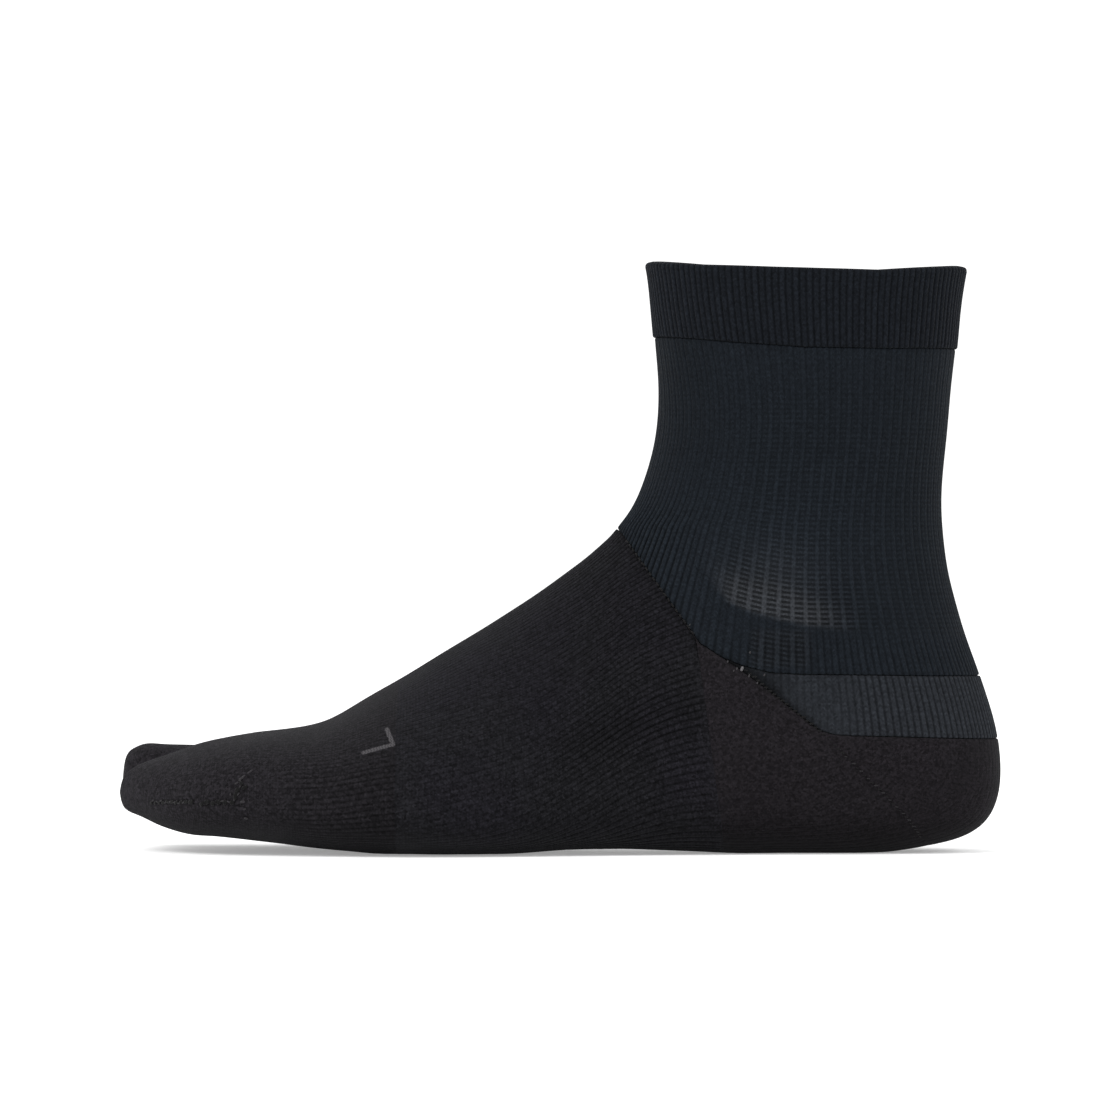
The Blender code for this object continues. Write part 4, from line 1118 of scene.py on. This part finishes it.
def build_heel():
    wall, proud, radius = FABRIC["heel_cup"]
    k = body.knots
    every = np.arange(0.06, 0.5, 0.0005)

    def long_(v):
        up = body.cross(v, below(band_z), k[4], k[16])
        front = body.cross(v, in_foot, k[6], k[18])
        return (front - up) * body.step(0.5 * (front + up), v)

    start = every[np.argmax(long_(every) > 0.03)]
    other = (1.0 - every)[np.argmax(long_(1.0 - every) > 0.03)]
    first, last = int(math.ceil(start * FOOT_WALES)), int(math.floor(other * FOOT_WALES))
    u = np.append(wale_columns(first, last, (0.0, 0.25, 0.5, 0.75)), float(last))
    u[0], u[-1] = start * FOOT_WALES, other * FOOT_WALES
    v = u / FOOT_WALES
    up = body.cross(v, below(band_z), k[4], k[16])
    front = body.cross(v, in_foot, k[6], k[18])
    room = 0.3 * np.maximum(front - up, 0.0)
    up = up + np.minimum(SEAM * 1.4 / np.maximum(body.step(up, v), 0.2), room)
    front = front - np.minimum(0.01 / np.maximum(body.step(front, v), 0.2), room)
    s, skin, away, gone = skin_grid(body, v, up, front, 110, 0.6)
    x, z = skin[..., 0], skin[..., 2]
    over = (z - gore_z(x)) * 0.72                      # distance from the gore, upper side positive
    in_gore = ease(z, 0.5, 3.0) * ease(x, -19.0, -15.0) * ease(x, 39.0, 36.0)
    ribs = rib_depth(np.broadcast_to(u, z.shape), 0.10, 0.14)
    ribs = ribs + 0.34 * np.exp(-(over / 0.5) ** 2) * in_gore - 0.16 * np.exp(-((over - 1.5) / 0.9) ** 2) * in_gore
    turned = np.where(away == gone, lip(away, 0.5), 0.0)
    stand = proud * ease(gone[-1:] - gone, 0.0, 8.0)
    outer, n = finish_skin(skin, False, ribs, turned, radius, stand)
    inner = inner_of(skin, n, wall - proud, 4, 28, False, reach=(SEAM * 1.6, 0.03))
    course = ring_uv(u, gone / 1.55, FOOT_WALES, False)
    # painted light: the heel is darker towards the floor as painted shade underneath and a little lighter on top
    # as painted light from above
    tone = 1.0 - 0.47 * ease(z, 15.5, 3.5) + 0.05 * ease(z, 24.0, 36.0)
    obj = fabric("heel_cup_knit", outer, inner, course, False, 4, tone)
    place("heel_cup", "heel_knit", HEEL, obj, "heel_cup")


def toe_valley(x, y, z):
    """How far the cloth dips between the big toe and the others, behind the split."""
    near = np.clip((x + 143.0) / (SPLIT_X + 143.0), 0.0, 1.0) ** 1.7
    width = 7.5 - 4.2 * near
    d = np.abs(y - 18.0)
    return near * 8.5 * (np.exp(-(d / (0.42 * width)) ** 1.5) * 0.72 + np.exp(-(d / width) ** 2) * 0.28)


def build_foot():
    wall, proud, radius = FABRIC["foot_body"]
    u = wale_columns(0, FOOT_WALES, RIB)
    v = u / FOOT_WALES
    back = foot.cross(v, in_foot, FOOT_NEAR + 0.5, 90.0)
    at_back = foot.point(back, v)[:, 2]
    back = back + (0.01 + SEAM * 1.3 * ease(at_back, 52.0, 66.0)) / np.maximum(foot.step(back, v), 0.2)
    fore = np.full(len(v), -FOREFOOT_X - 0.005)
    s, skin, away, gone = skin_grid(foot, v, back, fore, 92, 0.5)
    x, z = skin[..., 0], skin[..., 2]
    fade = ease(x, FOREFOOT_X - 1.0, FOREFOOT_X + 16.0)
    # a band across the arch is knitted tighter, with deeper grooves
    arch = bell((z - 38.0) - 0.34 * (x + 50.0), 0.0, 7.0) * ease(x, -78.0, -62.0) * (skin[..., 1] < 0)
    hind = ease(x, -100.0, -40.0)
    deep = (0.42 + 0.58 * hind) * (0.5 + 0.5 * fade) + 0.5 * arch
    deep = deep * (1.0 - 0.75 * ease(gone, 3.5, 0.0) * ease(z, 66.0, 54.0))
    ribs = rib_depth(np.broadcast_to(u, z.shape), 0.26, 0.34) * deep
    diagonal = ease(z, 52.0, 66.0)
    turned = np.where(away == gone, lip(away, 0.45) * diagonal, 0.0)
    outer, n = finish_skin(skin, True, ribs, turned, radius, proud)
    inner = inner_of(skin, n, wall - proud, 6, 26, True, reach=(SEAM * 1.6, 0.02))
    course = ring_uv(u, (gone - gone[-1:]) / 1.7, FOOT_WALES, True)
    # painted light in the foot's tone: darker towards the sole as painted shade underneath, darker beside the
    # slanted seam as painted shade, and lighter towards the forefoot as painted light from the front; the arch
    # band's darkening is the tighter knit
    tone = (1.0 - 0.25 * ease(z, 15.0, 3.0) - 0.04 * ease(z, 30.0, 60.0) - 0.16 * arch
            - 0.30 * np.exp(-(gone / 1.8) ** 2) * diagonal + 0.10 * ease(x, -95.0, -119.0))
    obj = fabric("foot_knit", outer, inner, course, True, 6, tone,
                 {"deep": deep + 0.30 * ease(x, -94.0, -117.0)})
    place("foot_body", "foot_knit", FOOT, obj, "foot_body")


def build_forefoot():
    wall, proud, radius = FABRIC["forefoot"]
    u = wale_columns(0, FOOT_WALES, (0.0, 0.25, 0.5, 0.75))
    v = u / FOOT_WALES
    fore = np.full(len(v), -FOREFOOT_X + 0.005)
    split = np.full(len(v), -SPLIT_X - 0.01)
    s, skin, away, gone = skin_grid(foot, v, fore, split, 62, 0.5)
    x, y, z = skin[..., 0], skin[..., 1], skin[..., 2]
    fade = ease(x, FOREFOOT_X - 26.0, FOREFOOT_X)
    sole_lines = ease(z, 34.0, 23.0) * ease(x, -158.0, -140.0)
    strength = (0.08 + 0.13 * fade + 0.62 * sole_lines) * ease(x, SPLIT_X, SPLIT_X + 12.0)
    ribs = rib_depth(np.broadcast_to(u, z.shape), 0.26, 0.34) * strength
    outer, n = finish_skin(skin, True, ribs, np.zeros(z.shape), radius, proud)
    dip = toe_valley(x, y, z)
    outer[..., 2] += np.where(z > 19.0, -dip, dip)
    inner = inner_of(skin, n, wall - proud, 4, 16, True)
    at = np.rint(np.linspace(0, skin.shape[0] - 1, 16)).astype(int)
    cols = np.arange(0, skin.shape[1], 4)
    inner[..., 2] += np.where(z > 19.0, -dip, dip)[at][:, cols]
    course = ring_uv(u, gone / 1.7, FOOT_WALES, True)
    # painted light: lighter towards the toes as painted light from the front, and darker towards the floor as
    # painted shade underneath
    tone = ((0.87 + 0.18 * ease(x, -120.0, -136.0) + 0.05 * ease(x, -140.0, -162.0))
            * (1.0 - 0.40 * ease(z, 16.0, 3.0)))
    obj = fabric("forefoot_knit", outer, inner, course, True, 4, tone, {"deep": 1.2 * strength + 0.24 * ease(x, -164.0, -144.0)})
    place("forefoot", "toe_knit", FRONT, obj, "forefoot")


LINK_Z = px(0, 799.0)[1]


def build_pocket(name, loft, wales, wall, offsets):
    u = wale_columns(0, wales, offsets)
    v = u / wales
    t = np.concatenate([[0.0, 0.05, 0.16, 0.4], np.linspace(0.4, 45.0, 72)[1:]])
    t = t[t < 44.0]
    t = np.concatenate([t, [44.1, 44.45, 44.75, 44.93]])
    s = np.repeat((t + 0.01)[:, None], len(v), axis=1)
    s = np.minimum(s, loft.end - 0.03)
    skin = loft.point(s, np.broadcast_to(v, s.shape))
    # its mouth is flush with the forefoot, wherever the two come close
    around = np.arange(1440) / 1440.0
    mouth = foot.point(np.full(1440, -SPLIT_X - 0.01), around)
    dip = toe_valley(mouth[:, 0], mouth[:, 1], mouth[:, 2])
    mouth[:, 2] += np.where(mouth[:, 2] > 19.0, -dip, dip)
    gap = mouth[None, :, 1:] - skin[0][:, None, 1:]
    closest = np.argmin(np.sum(gap ** 2, axis=-1), axis=1)
    move = gap[np.arange(len(v)), closest]
    move = move * ease(np.linalg.norm(move, axis=1), 2.8, 1.6)[:, None]
    skin[..., 1:] += move[None] * ease(s, 9.0, 0.0)[..., None]
    gone = np.concatenate([np.zeros((1, len(v))),
                           np.cumsum(np.linalg.norm(np.diff(skin, axis=0), axis=-1), axis=0)])
    ribs = rib_depth(np.broadcast_to(u, s.shape), 0.05, 0.08) * ease(s, 43.0, 38.0) * ease(s, 0.0, 8.0)
    if loft is toes:
        # along the linking seam the knit is drawn in, and puckers beside it
        from_seam = np.hypot(0.0, skin[..., 2] - LINK_Z) + 9.0 * (skin[..., 1] > -6.0)
        along = ease(skin[..., 0], -203.0, -196.0) * ease(skin[..., 0], SPLIT_X, SPLIT_X - 4.0)
        ribs = ribs + along * (0.26 * np.exp(-(from_seam / 0.55) ** 2)
                               - 0.16 * np.exp(-((from_seam - 1.5) / 0.8) ** 2)
                               * (0.6 + 0.4 * np.sin(skin[..., 0] * 3.1)))
    outer, n = finish_skin(skin, True, ribs, np.zeros(s.shape), 0.45, 0.0)
    far = loft.point(np.array([loft.end]), np.array([0.0]))[0]
    inner = inner_of(skin, n, wall, len(offsets), 20, True)
    x_stop = far[0] + wall
    inner[..., 0] = np.maximum(inner[..., 0], x_stop)
    course = ring_uv(u, gone / 1.7, wales, True)
    x, z = skin[..., 0], skin[..., 2]
    # painted light: lighter towards the tip as painted light from the front, and darker towards the floor as
    # painted shade underneath
    tone = (1.0 + 0.22 * ease(x, -172.0, -198.0)) * (1.0 - 0.47 * ease(z, 16.0, 4.5))
    obj = fabric(name + "_knit", outer, inner, course, True, len(offsets), tone,
                 tip=(far, far + np.array([wall + 0.02, 0.0, 0.0])))
    place(name, "toe_knit", TOE, obj, name)


build_cuff()
build_leg()
build_band()
build_heel()
build_foot()
build_forefoot()
build_pocket("four_toe_pocket", toes, 108, 2.1, (0.0, 0.5))
build_pocket("big_toe_pocket", thumb, 80, 2.1, (0.0, 0.5))


# ---------------------------------------------------------------- stitches on the seams
def stitches(name, slot, material, centres, along, normals, sizes):
    """Short raised threads: each a small closed bean, half sunk in the knit."""
    rings, sides = 7, 8
    theta = np.linspace(0.0, math.pi, rings + 2)[1:-1]
    phi = np.arange(sides) / sides * 2.0 * math.pi
    verts, corners, starts, uvs = [], [], [], []
    base = 0
    for c, a, n, (length, width, high) in zip(centres, along, normals, sizes):
        a = a / np.linalg.norm(a)
        n = n - a * np.dot(a, n)
        n = n / np.linalg.norm(n)
        b = np.cross(n, a)
        ring_r = np.sin(theta) ** 0.6
        p = (c + np.outer(-np.cos(theta) * length / 2.0, a)[:, None, :]
             + (ring_r[:, None] * np.cos(phi)[None, :])[..., None] * b * width / 2.0
             + (ring_r[:, None] * np.sin(phi)[None, :])[..., None] * n * high / 2.0)
        p = np.concatenate([p.reshape(-1, 3), [c - a * length / 2.0], [c + a * length / 2.0]])
        verts.append(p)
        for i in range(rings - 1):
            for j in range(sides):
                k = (j + 1) % sides
                face = [i * sides + j, i * sides + k, (i + 1) * sides + k, (i + 1) * sides + j]
                starts.append(len(corners))
                corners.extend(base + q for q in face)
                uvs.extend([(i / rings, j / sides), (i / rings, (j + 1) / sides),
                            ((i + 1) / rings, (j + 1) / sides), ((i + 1) / rings, j / sides)])
        for j in range(sides):
            k = (j + 1) % sides
            for face, w in (([rings * sides, j, k][::-1], 0.0),
                            ([rings * sides + 1, (rings - 1) * sides + j, (rings - 1) * sides + k], 1.0)):
                starts.append(len(corners))
                corners.extend(base + q for q in face)
                uvs.extend([(w, j / sides)] * 3)
        base += len(p)
    verts = np.concatenate(verts)
    verts[:, 2] = np.maximum(verts[:, 2], 0.02)
    corners, starts = np.array(corners), np.array(starts)
    obj = make_mesh(name, metres(verts), corners, starts, np.array(uvs), {})
    bm_fix(obj)
    return place(name, slot, material, obj)


def bm_fix(obj):
    import bmesh
    bm = bmesh.new()
    bm.from_mesh(obj.data)
    bmesh.ops.recalc_face_normals(bm, faces=bm.faces)
    bm.to_mesh(obj.data)
    bm.free()
    obj.data.shade_smooth()


def side_spot(loft, x, z, outer=True):
    """Point and outward normal on a side of the sock."""
    x, z = np.asarray(x, float), np.asarray(z, float)
    e = 0.4
    y = loft.side(x, z, outer)
    gx = (loft.side(x + e, z, outer) - loft.side(x - e, z, outer)) / (2 * e)
    gz = (loft.side(x, z + e, outer) - loft.side(x, z - e, outer)) / (2 * e)
    n = np.stack([-gx, np.ones_like(gx), -gz], axis=-1)
    if outer:
        n = -n
    n = n / np.linalg.norm(n, axis=-1, keepdims=True)
    return np.stack([x, y, z], axis=-1), n


def run_of_stitches(loft, line, pitch, outer, side_step=0.0):
    """Places along a side-view line, spaced over the real surface."""
    p = np.asarray(line, float)
    fine = []
    for a, b in zip(p[:-1], p[1:]):
        fine.append(a + (b - a) * np.linspace(0.0, 1.0, 60)[:, None])
    fine = np.concatenate(fine)
    q, n = side_spot(loft, fine[:, 0], fine[:, 1], outer)
    step = np.linalg.norm(np.diff(q, axis=0), axis=1)
    d = np.concatenate([[0.0], np.cumsum(step)])
    at = np.arange(pitch / 2.0, d[-1], pitch)
    pos = np.stack([np.interp(at, d, q[:, c]) for c in range(3)], axis=1)
    nor = np.stack([np.interp(at, d, n[:, c]) for c in range(3)], axis=1)
    ahead = np.stack([np.interp(at + 0.3, d, q[:, c]) for c in range(3)], axis=1)
    behind = np.stack([np.interp(at - 0.3, d, q[:, c]) for c in range(3)], axis=1)
    along = ahead - behind
    along = along / np.linalg.norm(along, axis=1, keepdims=True)
    side = np.cross(nor, along)
    return pos + side * side_step, along, nor


GREY_YARN = yarn_material("grey yarn", (0.0150, 0.0140, 0.0155))
PALE_YARN = yarn_material("pale yarn", (0.098, 0.095, 0.099))
SOFT_YARN = yarn_material("soft grey yarn", (0.034, 0.032, 0.035))
DARK_YARN = yarn_material("dark yarn", (0.0030, 0.0027, 0.0032))


def chance(count, seed):
    """Even-handed numbers from 0 to 1, the same in every run."""
    k = np.arange(1, count + 1)
    return np.mod(np.sin(k * 12.9898 + seed * 78.233) * 43758.5453, 1.0)


for outer in (True, False):
    tag = "outer" if outer else "inner"
    # the turn of the heel: slanted stitches over the gore
    pos, along, nor = run_of_stitches(body, GORE[:-1], 1.55, outer)
    turn = np.cross(nor, along)
    c = chance(len(pos), 1.0 + outer)
    lean = along * 0.8 + turn * (0.45 + 0.4 * c)[:, None]
    pos = pos + turn * ((c - 0.5) * 0.35)[:, None]
    light = (np.arange(len(pos)) % 2 == 0) & (pos[:, 2] < 31.0)
    for name, on, yarn, size in (("gore_stitches_", light, GREY_YARN, (1.1, 0.42, 0.40)),
                                 ("gore_dark_", ~light, DARK_YARN, (1.3, 0.50, 0.34))):
        scale = 0.75 + 0.5 * c[on]
        stitches(name + tag, "heel_knit", yarn, (pos - nor * 0.05)[on], lean[on], nor[on],
                 [tuple(q * k for q in size) for k in scale])

    # dark linking stitches down the slanted seam between leg and foot
    seam = ((-52.0, 92.6), (-42.0, 78.4), (-31.6, 64.0))
    pos, along, nor = run_of_stitches(body, seam, 2.1, outer)
    c = chance(len(pos), 3.0 + outer)
    turn = np.cross(nor, along)
    stitches("ankle_seam_" + tag, "leg_knit", DARK_YARN, pos - nor * 0.12,
             along + turn * (0.5 * (c - 0.5))[:, None], nor,
             [(1.3 + 0.5 * k, 0.5, 0.36) for k in c])

# a few ends of the lighter yarn show where three pieces meet, at the tip of the heel
ends = ((739, 667, 1.5, 0.85), (734, 667, 0.9, 0.55), (746, 674, 1.0, 0.55), (725, 660, 0.8, 0.5),
        (747, 651, 0.8, 0.5), (761, 673, 0.8, 0.5), (731, 669, 0.7, 0.45), (754, 681, 0.8, 0.45),
        (688, 624, 0.6, 0.4))
for outer in (True, False):
    spots = np.array([px(c, r) for c, r, _, _ in ends])
    if not outer:
        spots = spots[[0, 2, 3, 5]] + np.array([0.5, -0.3])
    where, nor = side_spot(body, spots[:, 0], spots[:, 1], outer)
    sizes = [(l, w, 0.5) for _, _, l, w in ends]
    lean = np.stack([np.array([0.35 + 0.3 * math.sin(3.1 * k), 0.0, 0.9]) for k in range(len(where))])
    pale = np.zeros(len(where), bool)
    pale[0] = True
    for name, on, yarn in (("pale_end_", pale, PALE_YARN), ("yarn_ends_", ~pale, SOFT_YARN)):
        picked = [q for q, k in zip(sizes, on) if k]
        stitches(name + ("outer" if outer else "inner"), "heel_knit", yarn, (where + nor * 0.10)[on],
                 lean[on], nor[on], picked)

# the toe pockets are linked shut: a row of puckers, with near-black beans between them as painted shade in the
# seam's hollows
def near_spot(spots):
    """The same on the outer side, on the forefoot or the four toes' pocket, whichever is there."""
    x, z = spots[:, 0], spots[:, 1]
    on_foot = side_spot(body, np.maximum(x, SPLIT_X), z, True)
    on_toes = side_spot(toes, np.minimum(x, SPLIT_X), z, True)
    return tuple(np.where((x > SPLIT_X)[:, None], a, b) for a, b in zip(on_foot, on_toes))


def linking(tag, loft, line, outer, seed):
    pos, along, nor = run_of_stitches(loft, line, 1.05, outer)
    turn = np.cross(nor, along)
    c, d = chance(len(pos), seed), chance(len(pos), seed + 5.0)
    dark = (np.arange(len(pos)) % 2 == 0) & (d > 0.15)
    light = (np.arange(len(pos)) % 2 == 1) & (d > 0.35)
    # the near-black beans between the puckers are painted shade in the hollows of the seam
    stitches("toe_link_dark_" + tag, "toe_knit", HOLLOW_SHADE_YARN,
             (pos + nor * 0.18 + turn * ((c - 0.5) * 0.9)[:, None])[dark],
             (along + turn * (1.6 * (d - 0.5))[:, None])[dark], nor[dark],
             [(1.2 + 1.2 * k, 0.95 + 0.35 * (-180.0 < q[0] < -165.0), 0.36)
              for k, q in zip(c[dark], pos[dark])])
    stitches("toe_link_puckers_" + tag, "toe_knit", LINK_YARN,
             (pos + nor * 0.20 + turn * (0.9 * (d - 0.5))[:, None])[light],
             (along + turn * (1.4 * (c - 0.4))[:, None])[light], nor[light],
             [(0.8 + 0.6 * k, 0.45, 0.30) for k in d[light]])


# near-black, for beans that are painted shade in the hollows of the linking seam
HOLLOW_SHADE_YARN = yarn_material("painted shade yarn", (0.0010, 0.0009, 0.0011))
LINK_YARN = yarn_material("linking yarn", (0.0225, 0.0208, 0.0232))
linking("near", toes, tuple(px(c, r) for c, r in ((150, 799), (180, 800), (238, 797.5), (245, 790),
                                                  (247.5, 776))), True, 6.0)
linking("far", thumb, ((-199.0, 19.5), (-164.0, 18.5)), False, 9.0)
knots = np.array([px(c, r) for c, r in ((248, 774), (243, 779), (256, 768), (249, 797), (252, 813),
                                        (251, 804), (237, 790))])
where, nor = near_spot(knots)
stitches("toe_link_knots", "toe_knit", LINK_YARN, where + nor * 0.14,
         np.array([[0.6, 0, 0.5], [0.8, 0, 0.5], [0.9, 0, 0.6], [1.0, 0, 0.1], [0.9, 0, -0.2],
                   [0.9, 0, 0.3], [0.2, 0, 1.0]]), nor,
         [(2.6, 0.8, 0.5), (1.3, 0.6, 0.4), (2.0, 0.7, 0.4), (1.5, 0.8, 0.5), (1.2, 0.7, 0.45),
          (0.9, 0.5, 0.35), (0.9, 0.5, 0.35)])
# more painted shade: near-black beans in the hollows beside the linking seam
dark_spots = np.array([px(c, r) for c, r in ((251, 783), (243, 786), (224, 797), (212, 799))])
where, nor = near_spot(dark_spots)
stitches("toe_link_hollow_shade", "toe_knit", HOLLOW_SHADE_YARN, where + nor * 0.16,
         np.array([[0.9, 0, 0.5], [0.3, 0, 1.0], [1.0, 0, 0.3], [1.0, 0, -0.2]]), nor,
         [(2.0, 1.1, 0.3), (1.8, 0.9, 0.3), (2.0, 1.0, 0.3), (1.8, 0.9, 0.3)])

# ---------------------------------------------------------------- floor, light and camera
def studio():
    floor = bpy.data.meshes.new("floor")
    size = 6.0
    floor.from_pydata([(-size, -size, -0.0024), (size, -size, -0.0024), (size, size, -0.0024),
                       (-size, size, -0.0024)], [], [(0, 1, 2, 3)])
    obj = bpy.data.objects.new("floor", floor)
    bpy.context.scene.collection.objects.link(obj)
    paint = bpy.data.materials.new("pale floor")
    paint.use_nodes = True
    shader = paint.node_tree.nodes["Principled BSDF"]
    shader.inputs["Base Color"].default_value = (0.86, 0.86, 0.86, 1.0)
    shader.inputs["Roughness"].default_value = 0.9
    shader.inputs["Specular IOR Level"].default_value = 0.1
    shader.inputs["Emission Color"].default_value = (1.0, 1.0, 1.0, 1.0)
    shader.inputs["Emission Strength"].default_value = 0.30
    floor.materials.append(paint)

    world = bpy.data.worlds.new("studio")
    bpy.context.scene.world = world
    world.use_nodes = True
    back = world.node_tree.nodes["Background"]
    back.inputs[0].default_value = (1.0, 1.0, 1.0, 1.0)
    back.inputs[1].default_value = 1.2

    def soft_box(name, place_, aim, size_, power):
        light = bpy.data.lights.new(name, "AREA")
        light.shape = "RECTANGLE"
        light.size, light.size_y = size_
        light.energy = power
        lamp = bpy.data.objects.new(name, light)
        bpy.context.scene.collection.objects.link(lamp)
        lamp.location = place_
        from mathutils import Vector
        lamp.rotation_euler = (Vector(aim) - Vector(place_)).to_track_quat("-Z", "Y").to_euler()

    soft_box("key", (-1.3, -1.5, 1.7), (-0.07, 0.0, 0.06), (1.2, 1.2), 34.0)
    soft_box("fill", (1.4, -0.9, 1.2), (-0.07, 0.0, 0.06), (1.0, 1.0), 8.0)

    camera = bpy.data.cameras.new("camera")
    camera.sensor_width = 36.0
    camera.sensor_fit = "HORIZONTAL"
    camera.lens = 2000.0 * 36.0 / 333.2
    camera.clip_end = 50.0
    eye = bpy.data.objects.new("camera", camera)
    eye.location = (-0.0714, -2.0, 0.0842)
    eye.rotation_euler = (math.pi / 2.0, 0.0, 0.0)
    bpy.context.scene.collection.objects.link(eye)
    bpy.context.scene.camera = eye
    bpy.context.scene.view_settings.view_transform = "Standard"
    bpy.context.scene.view_settings.look = "None"


studio()
